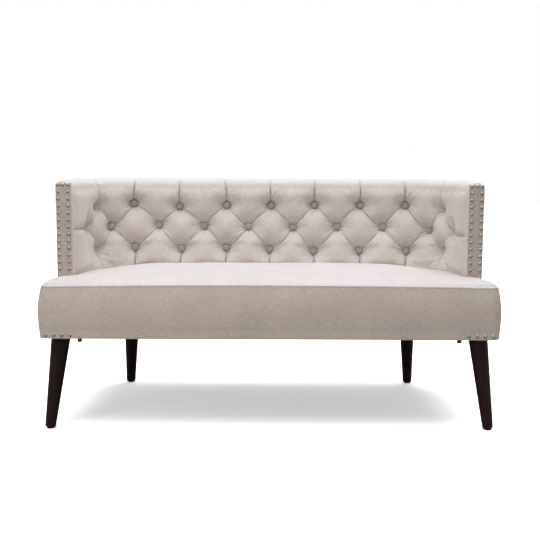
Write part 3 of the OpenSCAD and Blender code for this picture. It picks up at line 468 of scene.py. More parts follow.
def drag_lines(ds, dz, near, spots):
    """Heights of the small creases that run out from each button, most of them beside its folds."""
    rng = np.random.default_rng(3)
    slant = math.atan2(2 * ROW_STEP, SPACING)
    total = np.zeros_like(ds)
    folds = {TOP_ROW: (-slant, slant - math.pi, math.pi / 2),
             LOW_ROW: (slant, math.pi - slant, -math.pi / 2),
             MID_ROW: (slant, math.pi - slant, -slant, slant - math.pi)}
    lines = []
    for _, z in spots:
        rows = [(a + turn, rng.uniform(0.036, 0.060), rng.uniform(0.5, 1.0))
                for a in folds[min(folds, key=lambda row: abs(row - z))]
                for turn in (rng.uniform(0.13, 0.26), -rng.uniform(0.16, 0.36))]
        rows += [(side + rng.uniform(-0.12, 0.16), rng.uniform(0.030, 0.048), rng.uniform(0.3, 0.7))
                 for side in (0, math.pi)]
        rows += [(rng.uniform(-math.pi, math.pi), 0.030, rng.uniform(0.2, 0.6))
                 for _ in range(CREASES - len(rows))]
        lines.append(rows)
    lines = np.array(lines)
    for k in range(lines.shape[1]):
        angle, length, height = (lines[:, k, j][near] for j in range(3))
        along = ds * np.cos(angle) + dz * np.sin(angle)
        side = dz * np.cos(angle) - ds * np.sin(angle) + 3.0 * np.square(along) * np.sin(7 * angle)
        w = 0.0011 + 0.050 * np.maximum(along, 0)
        shape = bell(side, w) - 0.7 * bell(side - 1.8 * w, w)
        reach = smooth((along - 0.009) / 0.006) * (1 - smooth((along - 0.4 * length) / (0.6 * length)))
        total -= height * shape * reach
    return total


def dip(f, share, steep, wide, power):
    """What a fold takes away at distance f: a steep part, its share given, and a wide one."""
    return share * np.exp(-f / steep) + (1 - share) * np.exp(-np.power(f / wide, power))


class Face:
    """The tufted face's net: the place of each point, and its way to the buttons and folds."""

    def __init__(self, p):
        half, last = SPACING / 2, 2 * HALF_COLS + 1
        cols = [k * half + half * spaced(p.cols, 0.25)[:-1] for k in range(-last, last)]
        end = last * half + (PATH_HALF - last * half) * spaced(p.cols // 2 + 14, 0.2)
        self.line = np.concatenate([-end[:0:-1], *cols, end])
        low, up = fold_lines(self.line, p)
        self.top = HEIGHT - p.top_roll
        bands = [COVER_FOOT + (low - COVER_FOOT)[:, None] * spaced(p.rows, 0.2)[None, :-1],
                 low[:, None] + (up - low)[:, None] * spaced(p.rows + 6, 0.16)[None, :-1],
                 up[:, None] + (self.top - up)[:, None] * spaced(p.rows + 4, 0.2)[None, :]]
        self.z = np.concatenate(bands, 1)
        band = np.concatenate([np.full(b.shape[1], k) for k, b in enumerate(bands)])[None, :]
        self.foot, self.mid, self.head = band == 0, band == 1, band == 2
        self.s, self.low, self.up = (np.broadcast_to(a[:, None], self.z.shape) for a in (self.line, low, up))
        self.c = self.s / SPACING
        self.wing = np.abs(self.c) > HALF_COLS
        self.to_end = np.clip((PATH_HALF - np.abs(self.s)) / END_ROOM, 0, 1)
        self.find_buttons(p)
        self.find_folds()

    def find_buttons(self, p):
        """Nearest button, and how far out of its pull a point is: the pull is wide and not high."""
        self.spots = np.array([(k * SPACING, h) for k, h in buttons()])
        ds, dz = self.s[..., None] - self.spots[:, 0], self.z[..., None] - self.spots[:, 1]
        apart = np.hypot(ds, dz)
        self.button = apart.argmin(-1)
        pick = lambda a: np.take_along_axis(a, self.button[..., None], -1)[..., 0]
        self.q, self.near_s, self.near_z = pick(apart), pick(ds), pick(dz)
        top_row = self.spots[:, 1] > TOP_ROW - WELD
        upright = np.where(dz > 0, np.where(top_row, PULL_UP_TOP, PULL_UP), PULL_DOWN)
        ratio = np.hypot(ds * np.where(top_row, PULL_ACROSS_TOP, PULL_ACROSS), dz * upright)
        ratio = ratio / np.maximum(apart, WELD)
        pull = np.exp(-np.maximum(apart - p.button_rest, 0) * ratio / PULL_BLEND).sum(-1)
        self.pull = np.maximum(-PULL_BLEND * np.log(pull), 0)

    def find_folds(self):
        """Slant of the folds and distances across them."""
        c, z = self.c, self.z
        slant = 2 * ROW_STEP / SPACING * smooth((HALF_COLS + 0.56 - np.abs(c)) / 0.12)
        rising = np.where((c % 1) < 0.5, 1, -1)
        self.lean_low, self.lean_up = slant * rising, -slant * rising
        self.norm = np.hypot(1, slant)
        self.f_low, self.f_up = np.abs(z - self.low) / self.norm, np.abs(z - self.up) / self.norm
        self.inner = np.clip(np.round(c), -HALF_COLS, HALF_COLS)
        self.corner = np.abs(self.inner) == HALF_COLS
        self.beside = self.s - self.inner * SPACING
        self.f_side = np.hypot(self.beside, np.maximum(np.where(self.foot, z - LOW_ROW, TOP_ROW - z), 0))
        self.f_near = np.minimum(np.where(self.foot, self.f_low, self.f_up), self.f_side)
        self.fade_head = smooth((HEIGHT + 0.004 - z) / 0.05) * (1 - HEAD_FADE) + HEAD_FADE

    def cut(self, p):
        """Share of the depth that the folds take: a rolled lip over a fold, a gentle slope under it."""
        foot, mid, head, wing, corner = self.foot, self.mid, self.head, self.wing, self.corner
        steep, wide = p.fold_steep, p.fold_wide
        lip = lambda f: dip(f, 0.82, steep, wide, 1.5)
        slope = lambda f: dip(f, 0.52, 0.8 * steep, wide, 1.4)
        upright = dip(self.f_side, 0.80, np.where(foot, 1.15, 0.85) * steep, 0.6 * wide, 1.4)
        cut = np.where(foot, np.where(wing, lip(self.f_low), slope(self.f_low)), 0)
        between = (1 - np.where(wing, slope(self.f_low), lip(self.f_low))) * (1 - slope(self.f_up))
        cut = np.where(mid, 1 - between, cut)
        cut = np.where(head, lip(self.f_up), cut)
        # The wing's pillow stands over the deep crease in each corner; the other upright folds are shallow
        side = np.where(corner, np.where(wing, lip(self.f_side), slope(self.f_side)), upright)
        at_head = np.where(corner, 0.3 + 0.7 * self.fade_head, self.fade_head)
        side = side * np.where(head, at_head, 1) * ~mid
        return 1 - (1 - cut) * (1 - side)

    def pillows(self, p, cut):
        """How far the stuffing stands out over the dimples, fullest where a wing meets its corner."""
        c, z, foot, mid, wing = self.c, self.z, self.foot, self.mid, self.wing
        wing_pillow = wing & ~mid
        hold = 1 - np.exp(-np.power(np.where(wing_pillow, self.pull + 0.005, self.pull) / p.hold, 1.05))
        cell = np.where(mid, np.round(c) + 40, np.floor(c) + np.where(foot, 10, 80)).astype(int)
        own = np.random.default_rng(5).uniform(-1, 1, 128)[cell % 128]
        deep_side = np.where(self.corner, CORNER_DEEP * np.exp(-self.f_side / CORNER_REACH),
                             FOOT_DEEP * foot * np.exp(-self.f_side / FOOT_REACH))
        part = p.fold_part * (1 + deep_side * ~mid)
        depth = p.depth * (1 + UNEVEN * own * (1 - cut)) * hold * (1 - part * cut)
        bulge = p.wing_bulge * np.exp(-np.minimum(self.f_near, 1) / WING_REACH) * (1 - cut)
        depth = depth * (1 + np.where(wing_pillow, bulge, 0))
        depth = depth * (1 - WING_THIN * smooth((np.abs(c) - HALF_COLS - 0.1) / 0.45))
        # Pillows lean in towards their lower tips, and a taut line bows up between the lowest row's buttons
        tip = np.where(self.head & ~wing, HEAD_TIP * smooth((0.676 - z) / 0.115), 0)
        tip = tip + np.where(mid & ~wing, MID_TIP * smooth((MID_ROW + 0.005 - z) / 0.065), 0)
        arch = np.sin(math.pi * (c % 1))
        taut = TAUT * bell(z - LOW_ROW - 0.012 * arch, 0.010) * (1 - 0.35 * arch)
        tip = tip + np.where(foot & ~wing, taut, 0)
        return depth - tip * hold, hold

    def creases(self, p, cut, hold):
        """Heights of the grooves, the double folds, the small creases and the cloth's unevenness."""
        s, z, mid = self.s, self.z, self.mid
        groove = GROOVE_FOOT * self.foot + GROOVE_HEAD * self.head * self.fade_head
        rise = -groove * bell(self.f_side, GROOVE_WIDE) * ~self.corner
        # Many folds are double: a thin ridge and a second crease run along their lower side
        under = np.where(mid, self.f_up, self.f_low)
        double = bell(under - RIDGE_AT, 0.0015) - 0.8 * bell(under - SECOND_AT, 0.0013)
        where = smooth(soft_noise(s / 0.06, z / 0.06, 23) * 1.6 + 1.0) * hold
        where = where * (mid | (self.foot & ~self.wing))
        rise = rise + RIDGE * double * where
        rise = rise + p.crease * drag_lines(self.near_s, self.near_z, self.button, self.spots)
        rise = rise + 0.0009 * soft_noise(s / 0.034 + 9, z / 0.030, 21) * (1 - cut)
        return rise + 0.0003 * soft_noise(s / 0.009, z / 0.012 + 3, 22) * hold * ~self.wing

    def stand(self, p):
        """How far the cloth stands out from the line of the buttons."""
        s, z = self.s, self.z
        cut = self.cut(p)
        depth, hold = self.pillows(p, cut)
        depth = depth + self.creases(p, cut, hold)
        # The stuffing thins out at the wing's front edge and where the cover goes into the seat
        filled = 1 - np.power(1 - np.clip((PATH_HALF - np.abs(s)) / THIN_ROOM, 0, 1), 2.6)
        rim = -p.dimple - IN_EDGE
        depth = rim + (depth - rim) * filled
        to_seat = np.clip((z - COVER_FOOT + 0.016 * smooth((np.abs(s) - 0.40) / 0.10)) / SEAT_ROOM, 0, 1)
        depth = depth * (0.05 + 0.95 * np.sqrt(to_seat))
        lean_back = LEAN_BACK * np.square(np.clip((z - LEAN_FROM) / (HEIGHT - LEAN_FROM), 0, 1))
        swell = p.corner_swell * bell(np.abs(s) - SWELL_AT, SWELL_WIDE)
        swell = swell * smooth((LOW_ROW + 0.015 - z) / 0.075)
        return p.dimple + depth - lean_back + swell

    def laps(self, p):
        """Places on the face once each pillow laps over the one below, and the wing's over the back's."""
        s, z, foot, mid, head, wing, corner = (self.s, self.z, self.foot, self.mid, self.head, self.wing,
                                               self.corner)
        end_fade = smooth(self.to_end / 0.3)
        lap = p.lap * smooth((self.q - 0.011) / 0.020) * end_fade
        wing_lap = p.wing_lap * end_fade
        push = lambda f, at: f / at * np.exp(1 - f / at)
        by_corner = wing & (np.abs(self.c) <= HALF_COLS + 0.5)
        over_low = lap * push(self.f_low, LAP_AT) * smooth((self.up - self.low) / 0.03)
        over_low = np.where(mid & ~wing, over_low, 0)
        over_up = np.where(by_corner, wing_lap * push(self.f_up, WING_LAP_AT), lap * push(self.f_up, LAP_AT))
        over_up = over_up * head
        under = np.where(foot & by_corner, wing_lap * push(self.f_low, WING_LAP_AT), 0)
        move_s = (over_low * self.lean_low + over_up * self.lean_up - under * self.lean_low) / self.norm
        move_z = (under - over_low - over_up) / self.norm
        way = np.where(corner, np.sign(self.inner), np.where(np.sin(self.inner * 2.4 + 0.7) > 0, 1, -1))
        flank = (self.beside * way > 0) & ~mid
        at_corner = wing_lap * push(self.f_side, WING_LAP_AT) * smooth((HEIGHT - z) / 0.03)
        at_corner = at_corner * smooth(1.6 - np.maximum(LOW_ROW - z, 0) / 0.06)
        elsewhere = 0.5 * lap * push(self.f_side, LAP_AT) * np.where(head, self.fade_head, 1)
        move_s = move_s - way * flank * np.where(corner, at_corner, elsewhere)
        inwards = LEAN_IN * smooth((LOW_ROW - z) / 0.07) * bell((np.abs(self.c) - HALF_COLS) * SPACING, 0.055)
        return s + move_s - np.sign(s) * inwards, z + move_z

    def held(self):
        """Where the simulation holds the cloth: at its buttons, folds and rims."""
        fold = np.where(self.mid, np.minimum(self.f_low, self.f_up), self.f_near)
        return np.maximum.reduce([
            smooth(1 - (self.q - 0.012) / 0.010), smooth(1.3 - fold / 0.006), smooth(1 - self.to_end / 0.5),
            smooth(1 - (self.z - COVER_FOOT) / 0.03), smooth(1 - (self.top - self.z) / 0.012)])


def tufted_face(p):
    """Each column's path distance, the face's points, how far its top stands out, and the cloth's map."""
    face = Face(p)
    stand = face.stand(p)
    s, z = face.laps(p)
    off_s, off_z = set_off(s, z)
    points = relaxed(in_point(s + off_s, z + off_z, stand), face.held(), p)
    return face.line, points, stand[:, -1], face.s, face.z


def relaxed(points, held, p):
    """The cloth let go under a light pressure by a short simulation, held at its folds and rims."""
    scene = bpy.context.scene
    cols, rows = points.shape[:2]
    # Points that fall on one another become one, because a spring without length stops the simulation
    _, first, join = np.unique(np.round(points.reshape(-1, 3) * JOINED).astype(int), axis=0,
                               return_index=True, return_inverse=True)
    join = join.ravel()
    faces = [list(dict.fromkeys(join[f].tolist())) for f in np.array(net(rows, cols))]
    mesh = bpy.data.meshes.new("relaxing_cloth")
    mesh.from_pydata(points.reshape(-1, 3)[first].tolist(), [], [f for f in faces if len(f) > 2])
    obj = bpy.data.objects.new("relaxing_cloth", mesh)
    scene.collection.objects.link(obj)
    group = obj.vertex_groups.new(name="held")
    level = np.round(held.ravel()[first] * HOLD_STEPS).astype(int)
    for k in range(1, HOLD_STEPS + 1):
        group.add(np.flatnonzero(level == k).tolist(), k / HOLD_STEPS, "REPLACE")
    normal = np.array([f.normal[:] for f in mesh.polygons]).mean(0)
    cloth = obj.modifiers.new("cloth", "CLOTH")
    soft = cloth.settings
    soft.quality, soft.mass, soft.vertex_group_mass = 4, 0.001, "held"
    soft.tension_stiffness, soft.compression_stiffness = 40, 10
    soft.shear_stiffness, soft.bending_stiffness = 10, 0.5
    soft.use_pressure = True
    soft.uniform_pressure_force = p.pressure * (-1 if normal[1] > 0 else 1)
    soft.shrink_min = -p.slack
    soft.effector_weights.gravity = 0
    cloth.collision_settings.use_collision = cloth.collision_settings.use_self_collision = False
    cloth.point_cache.frame_start, cloth.point_cache.frame_end = 1, p.frames
    for k in range(1, p.frames + 1):
        scene.frame_set(k)
    done = obj.evaluated_get(bpy.context.evaluated_depsgraph_get()).to_mesh()
    place = np.empty(len(done.vertices) * 3, np.float32)
    done.vertices.foreach_get("co", place)
    move = place.reshape(-1, 3)[join].reshape(points.shape).astype(float) - points
    far = np.linalg.norm(move, axis=-1, keepdims=True)
    bpy.data.objects.remove(obj)
    bpy.data.meshes.remove(mesh)
    scene.frame_set(1)
    return points + move * np.minimum(1, p.most_move / np.maximum(far, WELD * MM))


def tufted_ring(p):
    """The tufted cover as closed rings: face, rolled top, turn-over and the inside of the cloth."""
    s, face, stand, s2, z2 = tufted_face(p)
    col = s[:, None]
    roll, rest = p.top_roll, HEIGHT - p.top_roll
    t = np.linspace(0, math.pi / 2, 8)[None, 1:]
    along = np.abs(col) / SPACING
    notch = TOP_NOTCH * bell((along - np.round(along)) * SPACING, 0.004) * (along < HALF_COLS + 0.3)
    wave = TOP_WAVE * soft_noise(col / 0.05, 0.5, 31)
    puff = smooth((np.abs(col) - 0.60) / 0.1) * smooth((PATH_HALF + 0.004 - np.abs(col)) / 0.03)
    puff = WING_TOP_PUFF * puff
    top = in_point(col, rest + (roll + puff - notch) * np.sin(t), stand[:, None] - roll * (1 - np.cos(t)))
    inner, outer = top[:, -1], out_point(col, HEIGHT, OUTER_ROLL)[:, 0]
    share = np.linspace(0, 1, 7)[None, 1:-1, None]
    flat = inner[:, None] * (1 - share) + outer[:, None] * share
    flat[..., 2] += wave + puff * (1 - share[..., 0])
    o = np.linspace(0, math.pi / 2, 8)[None, :]
    over = out_point(col, HEIGHT - OUTER_ROLL * (1 - np.cos(o)), OUTER_ROLL * (1 - np.sin(o)))
    hem_wave = TOP_WAVE * 5 / 6 * soft_noise(col / 0.03, 3.5, 33)
    drop = np.linspace(HEIGHT - OUTER_ROLL, TURN_Z + 0.001, 4)[None, 1:]
    fall = out_point(col, drop, np.array([[0.0002, 0.0, 0.0006]]) + hem_wave)
    hem = out_point(col, np.array([[TURN_Z, TURN_Z, TURN_Z + 0.003]]), np.array([[0.0018, 0.004, 0.0045]]))
    lining = out_point(col, HEIGHT - COVER_T, 0.005)
    behind = [in_point(col, z, INSIDE_BACK) for z in (HEIGHT - COVER_T, COVER_FOOT)]
    ring = np.concatenate([face, top, flat, over, fall, hem, lining, *behind], 1)
    along = run_length(ring)
    across = np.broadcast_to(col, along.shape)
    uv = np.stack([across, along], -1)
    uv[:, :z2.shape[1], 0], uv[:, :z2.shape[1], 1] = s2, z2
    uv[:, z2.shape[1]:, 1] += z2[:, -1:] - along[:, z2.shape[1] - 1:z2.shape[1]]
    return ring, uv


class SETTEE_OT_tufted_cover(bpy.types.Operator):
    """Cover of the inside back and wings, tufted in diamonds, with its turn-over along the top"""
    bl_idname = "settee.tufted_cover"
    bl_label = "Tufted cover"

    def execute(self, context):
        ring, uv = tufted_ring(context.scene.settee_tufting)
        cols, rows = ring.shape[:2]
        faces = net(rows, cols, wrap_rows=True, caps=True)
        obj = piece("tufted_inside_cover", ring, faces, uv, material("linen"))
        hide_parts("tufted_cover")
        return {"FINISHED"}


# Radius and height of a button's outline in mm, and how far a button is sunk, deepest by the corners
BUTTON_PROFILE = ((0, 4.3), (4.5, 4.2), (7.6, 3.8), (9.5, 2.9), (10.4, 1.2), (10.6, -0.4), (10.3, -1.6),
                  (9.2, -3.0), (7.0, -3.8), (0, -4.2))
SUNK, SUNK_DEEP = 0.0035, 0.0075


class SETTEE_OT_buttons(bpy.types.Operator):
    """Covered buttons of the tufting, one piece for each row"""
    bl_idname = "settee.buttons"
    bl_label = "Buttons"

    def execute(self, context):
        profile = rounded(BUTTON_PROFILE, 2) * MM
        turn = np.linspace(0, 2 * math.pi, 41)[:-1]
        rng = np.random.default_rng(17)
        for row, height in (("top", TOP_ROW), ("middle", MID_ROW), ("bottom", LOW_ROW)):
            verts, uvs, faces = [], [], []
            for c in (c for c, z in buttons() if z == height):
                sunk = SUNK_DEEP if abs(c) >= HALF_COLS or c == HALF_COLS - 0.5 else SUNK
                tuck = rng.uniform(0, 6.28)
                off_s, off_z = set_off(c * SPACING, height)
                s, z = c * SPACING + float(off_s), height + float(off_z)
                t = np.clip((abs(s) - BACK_HALF) / IN_R, 0, math.pi / 2) * (1 if s > 0 else -1)
                out = np.array([-math.sin(t), -math.cos(t), 0])
                side = np.array([math.cos(t), -math.sin(t), 0])
                r = profile[:, :1] * np.ones_like(turn)
                gathers = smooth((r - 0.0075) / 0.004) * np.sin(11 * turn + tuck)
                h = profile[:, 1:] + BUTTON_SEAT - sunk + 0.00022 * gathers
                r = r + 0.00012 * gathers
                pts = in_point(s, z, DIMPLE) + (r * np.cos(turn))[..., None] * side + h[..., None] * out
                pts[..., 2] += r * np.sin(turn)
                base, m, n = len(verts), len(profile), len(turn)
                verts += pts.reshape(-1, 3).tolist()
                on_cloth = np.stack([r * np.cos(turn + tuck) + c, r * np.sin(turn + tuck) + z], -1)
                uvs += on_cloth.reshape(-1, 2).tolist()
                faces += [[base + i * n + j, base + i * n + (j + 1) % n, base + (i + 1) * n + (j + 1) % n,
                           base + (i + 1) * n + j] for i in range(m - 1) for j in range(n)]
            obj = piece(f"covered_buttons_{row}_row", verts, faces, uvs, material("linen_button"))
            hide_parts(f"buttons_{row}_row")
        return {"FINISHED"}


# The seat

# Heights of the seat's surface in metres, and where its form changes
SEAT_CORE, SEAT_CREST = 0.59, 0.45                  # half width of its even columns; the crest's depth share
BACK_FALL, CORNER_FALL = 0.010, 0.0075
MIDDLE_RISE, SIDE_FALL = 0.0125, 0.0020
SIDE_FULL, SIDE_BULGE = 0.0085, 0.002               # fullness ahead of the wings, above and on the border
SIDE_SKEW = 0.45                                    # the fullness above is largest near the front corners
PANEL_THICK = 0.0035


def seam_z(x):
    """Height of the seam along the front edge."""
    return SEAT_H + EDGE_RISE * (1 - np.square(x / HALF_W))


def seat_z(x, y):
    """Height of the seat's surface: it rises behind the front edge and falls to the back and wings."""
    v = (y - FRONT) / (STEM_BACK - FRONT)
    late = np.clip((v - SEAT_CREST) / (1 - SEAT_CREST), 0, 1)
    far = smooth((np.abs(x) - 0.36) / 0.24)
    rise = np.where(v < SEAT_CREST, np.sin(np.clip(v / SEAT_CREST, 0, 1) * math.pi / 2),
                    np.cos(late * math.pi / 2))
    return (seam_z(x) + CROWN * rise * (1 - np.square(x / HALF_W)) - BACK_FALL * np.square(late)
            - CORNER_FALL * np.minimum(1, v * 2) * np.power(x / HALF_W, 4)
            + MIDDLE_RISE * smooth(v / 0.8) * (1 - far) - SIDE_FALL * smooth((v - SEAT_CREST) / 0.5) * far)


def seat_top_grid(p):
    """Points of the seat's top panel, rows from front to back."""
    edge_half, edge_r = HALF_W - LIP_IN, SEAT_R - LIP_IN
    # Rows as depth, half width and whether they lie between the wings
    rows = [(FRONT + LIP_IN + edge_r * (1 - math.cos(t)), edge_half - edge_r * (1 - math.sin(t)), 0)
            for t in np.linspace(0, math.pi / 2, 14)]
    y0 = FRONT + SEAT_R
    stop = WING_Y - 0.0006
    rows += [(y0 + (stop - y0) * t, edge_half - (edge_half - 0.652) * t * t, 0)
             for t in spaced(26, 0.15, start=False)[1:]]
    rows += [(WING_Y + 0.0006, STEM_HALF, 1)]
    curve = [in_point(BACK_HALF + IN_R * t, FOAM_TOP, -0.0034) for t in np.linspace(math.pi / 2, 0, 26)]
    rows = np.array(rows + [(float(y), float(x), 1) for x, y, _ in curve if y > WING_Y + 0.004])
    flank = spaced(12, 0.2, start=False)
    core = np.linspace(-1, 1, 91)
    x = []
    for y, w, stem in rows:
        inner = SEAT_CORE * (w / STEM_HALF if stem else 1)
        edge = inner + (w - inner) * flank
        x.append(np.concatenate([-edge[:0:-1], core * inner, edge[1:]]))
    x = np.array(x)
    y, w, stem = (np.broadcast_to(rows[:, k:k + 1], x.shape) for k in range(3))
    stem = stem > 0.5
    z = seat_z(x, y)
    # Distance to the sewn edge with its rounded corners, and the roll down to it
    ax = np.abs(x)
    qx, qy = ax - (edge_half - edge_r), FRONT + SEAT_R - y
    corner = np.hypot(np.maximum(qx, 0), np.maximum(qy, 0)) + np.minimum(np.maximum(qx, qy), 0) - edge_r
    seam = np.where(stem, 1.0, np.minimum(np.maximum(-corner, 0), np.maximum(w - ax, 0)))
    around = np.where(y < FRONT + SEAT_R, x, x + y)
    pucker = p.pucker * soft_noise(around / 0.011, 0.5 + 0 * x, 41) * np.exp(-seam / 0.007)
    z = z - p.edge_drop * bell(seam, p.edge_roll) + pucker
    # The sides are stuffed full between the front corners and the wings
    to_wing = np.clip((y - FRONT) / (WING_Y - FRONT), 0, 1)
    full = np.power(ax / HALF_W, 5) * np.sin(math.pi * np.power(to_wing, SIDE_SKEW))
    z = z + SIDE_FULL * full * smooth(seam / 0.018)
    # The panel tucks in round the back and along the wings' fronts
    back_e = np.minimum(w - ax, rows[-1, 0] - y) / 0.016
    low = FOAM_TOP + 0.004
    tucked = low + (z - low) * np.sin(math.pi / 2 * np.clip(back_e, 0, 1))
    z = np.where(stem & (back_e < 1), tucked, z)
    wing_e = (WING_Y - y) / 0.007
    by_wing = ~stem & (ax > STEM_HALF - 0.004) & (wing_e < 1)
    z = np.where(by_wing, z - 0.003 * np.square(1 - np.clip(wing_e, 0, 1)), z)
    inside = np.clip(seam / 0.03, 0, 1)
    z = z + 0.0007 * soft_noise(x / 0.09, y / 0.08, 43) * inside
    return np.stack([x, y, z + 0.00025 * soft_noise(x / 0.02, y / 0.03, 44) * inside], -1)


class SETTEE_OT_seat_top(bpy.types.Operator):
    """Crowned top panel of the seat, sewn to the border and tucked in round the back"""
    bl_idname = "settee.seat_top"
    bl_label = "Seat top"

    def execute(self, context):
        top = seat_top_grid(context.scene.settee_seat)
        low = top.copy()
        low[..., 2] -= PANEL_THICK
        low[..., 0] *= 1 - 0.0015 / np.maximum(np.abs(low[..., 0]), 0.3)
        low[0, :, 1] += 0.0012
        verts, faces = pad(top, low)
        obj = piece("seat_cushion_top", verts, faces, verts[:, :2], material("linen_seat"))
        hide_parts("seat_top_panel")
        return {"FINISHED"}


# Inset from the outline in mm and share of the height: the border's face, then its inside
BORDER_FACE = ((11.5, 0.995), (8.7, 0.994), (7.5, 0.955), (5.7, 0.890), (3.7, 0.81), (1.7, 0.70), (0, 0.54),
               (0.4, 0.40), (1.6, 0.25), (3.7, 0.15), (4.2, 0.03), (5.2, 0.0), (8.4, -0.012))
BORDER_INSIDE = ((17.5, -0.012), (17.5, 0.01), (13.0, 0.01), (13.0, 0.95), (9.5, 0.96))
WING_NARROW = 0.007


def border_outline(step):
    """Seat outline from the left wing round the front: x, y, outward x and y, narrowing, distance."""
    y0, flat = FRONT + SEAT_R, HALF_W - SEAT_R
    half = [(x, y0, 0.0, -1.0, 0.0) for x in np.linspace(0, flat, int(flat / step) + 1)[:-1]]
    half += [(flat, y0, math.sin(t), -math.cos(t), 0.0) for t in np.linspace(0, math.pi / 2, 15)]
    side = WING_Y - 0.0003 - y0
    half += [(flat, y0 + side * t, 1.0, 0.0, WING_NARROW * t * t)
             for t in np.linspace(0, 1, int(side / step) + 1)[1:]]
    half = np.array(half)
    path = np.concatenate([half[:0:-1] * np.array([-1, 1, -1, 1, 1]), half])
    return path, distances(path[:, :2] + SEAT_R * path[:, 2:4])


class SETTEE_OT_seat_border(bpy.types.Operator):
    """Boxed border round the front and sides of the seat, with its sewn upper edge"""
    bl_idname = "settee.seat_border"
    bl_label = "Seat border"

    def execute(self, context):
        p = context.scene.settee_seat
        path, run = border_outline(0.006)
        along = path[:, 2:4]
        ahead, beside = np.abs(along[:, 1:]), np.abs(along[:, :1])
        rim_x = np.abs(path[:, 0]) + (SEAT_R - SEAM_IN) * beside[:, 0]
        rim_y = path[:, 1] + (SEAT_R - SEAM_IN) * along[:, 1]
        top = (seat_z(rim_x, rim_y) - p.edge_drop - 0.0008)[:, None]
        face = rounded(BORDER_FACE, 3)
        depth, share = np.concatenate([face, BORDER_INSIDE]).T
        outer = np.arange(len(share)) < len(face)
        z = np.where(share < 0, UNDER, RAIL_Z + share * (top - RAIL_Z))
        down = top - z
        gather = np.exp(-np.maximum(down, 0) / 0.012) * outer
        # The front's foot stands in behind its nails; the sides come down straighter
        depth = depth * MM * np.where(outer & (share < 0.5), 0.35 + 0.65 * ahead, 1)
        inset = np.maximum(depth, np.where(outer, path[:, 4:5], 0))
        run = run[:, None]
        inset = inset + p.pucker * 1.3 * soft_noise(run / 0.012 + 7, 0.5, 45) * gather
        wave = soft_noise(run / 0.11, z / 0.07, 46) * np.clip(down / 0.03, 0, 1) * (share > 0.2)
        inset = inset - 0.0005 * wave * outer
        # The sides of the seat stand out a little where nothing holds them
        free = np.power(beside, 4) * (1 - path[:, 4:5] / WING_NARROW)
        inset = inset - SIDE_BULGE * np.sin(math.pi * np.clip(share, 0, 1)) * outer * free
        reach = SEAT_R - inset
        pts = np.stack([path[:, :1] + reach * along[:, :1], path[:, 1:2] + reach * along[:, 1:], z], -1)
        pts[..., 2] += p.pucker * soft_noise(run / 0.012, 1.5, 47) * gather * 0.6
        uv = np.stack([np.broadcast_to(run, z.shape), run_length(pts)], -1)
        faces = net(len(share), len(path), wrap_rows=True, caps=True)
        obj = piece("seat_cushion_border", pts, faces, uv, material("linen_front"))
        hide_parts("seat_border")
        return {"FINISHED"}


# Wing fronts, outside covers and the cloth underneath

NAIL_TOP, NAIL_FOOT, NAILS = 0.6984, 0.4193, 14
NAIL_OUT, NAIL_IN = WING_OUT - 0.008, WING_IN + 0.010
EDGE_ROLL, WELT, WELT_AT, PUFF = 0.0026, 0.0020, 0.0028, 0.0009


def nail_spots():
    """Where the nails of a wing front stand, seen from its inner edge."""
    pitch = (NAIL_TOP - NAIL_FOOT) / (NAILS - 1)
    return ([(x, NAIL_TOP - k * pitch) for k in range(NAILS) for x in (NAIL_IN, NAIL_OUT)]
            + [((NAIL_IN + NAIL_OUT) / 2, NAIL_TOP)])


class SETTEE_OT_wing_fronts(bpy.types.Operator):
    """Flat padded panels on the fronts of the wings, pulled in a little at each nail"""
    bl_idname = "settee.wing_fronts"
    bl_label = "Wing fronts"

    def execute(self, context):
        z = PANEL_FOOT + (PANEL_TOP - PANEL_FOOT) * spaced(150, 0.2)
        rise = np.maximum(z - (PANEL_TOP - PANEL_R), 0)
        far = WING_OUT - PANEL_R + np.sqrt(np.maximum(PANEL_R ** 2 - rise ** 2, 0))
        x = WING_IN + (far - WING_IN)[None, :] * spaced(30, 0.2)[:, None]
        z = np.broadcast_to(z[None, :], x.shape)
        to_edge = np.minimum.reduce([x - WING_IN, far[None, :] - x, PANEL_TOP - z, z - PANEL_FOOT + 0.004])
        e = np.clip(to_edge / EDGE_ROLL, 0, 1)
        dent = np.maximum.reduce([bell(np.hypot(x - nx, z - nz), 0.0075) for nx, nz in nail_spots()])
        y = WING_Y + EDGE_ROLL * (1 - np.sqrt(1 - np.square(1 - e))) + 0.0004
        y = y - PUFF * smooth(to_edge / 0.012) * (1 - dent) - WELT * bell(x - WING_IN - WELT_AT, 0.0014) * e
        for name, side in (("left", -1), ("right", 1)):
            wave = 0.0003 * soft_noise(x / 0.02 + side, z / 0.03, 51)
            front = np.stack([side * x, y + wave * e, z], -1)
            back = front.copy()
            back[..., 1] = WING_Y + PANEL_T
            verts, faces = pad(front, back)
            obj = piece(f"wing_front_cover_{name}", verts, faces, verts[:, [0, 2]], material("linen_wing"))
            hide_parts(f"wing_front_panel_{name}")
        return {"FINISHED"}


# Inset and height in mm of an outside cover, from its turn under the rail up to the hem it goes under
SHELL_PROFILE = ((21.0, 270), (3.0, 270), (0.6, 270.6), (0.1, 273), (0, 300), (0, 420), (0, 560), (0, 676),
                 (0.3, 680.5), (1.6, OUTSIDE_TOP / MM))
TURN_UNDER, SHELL_T, SHELL_STEP = 0.021, 0.0022, 0.012


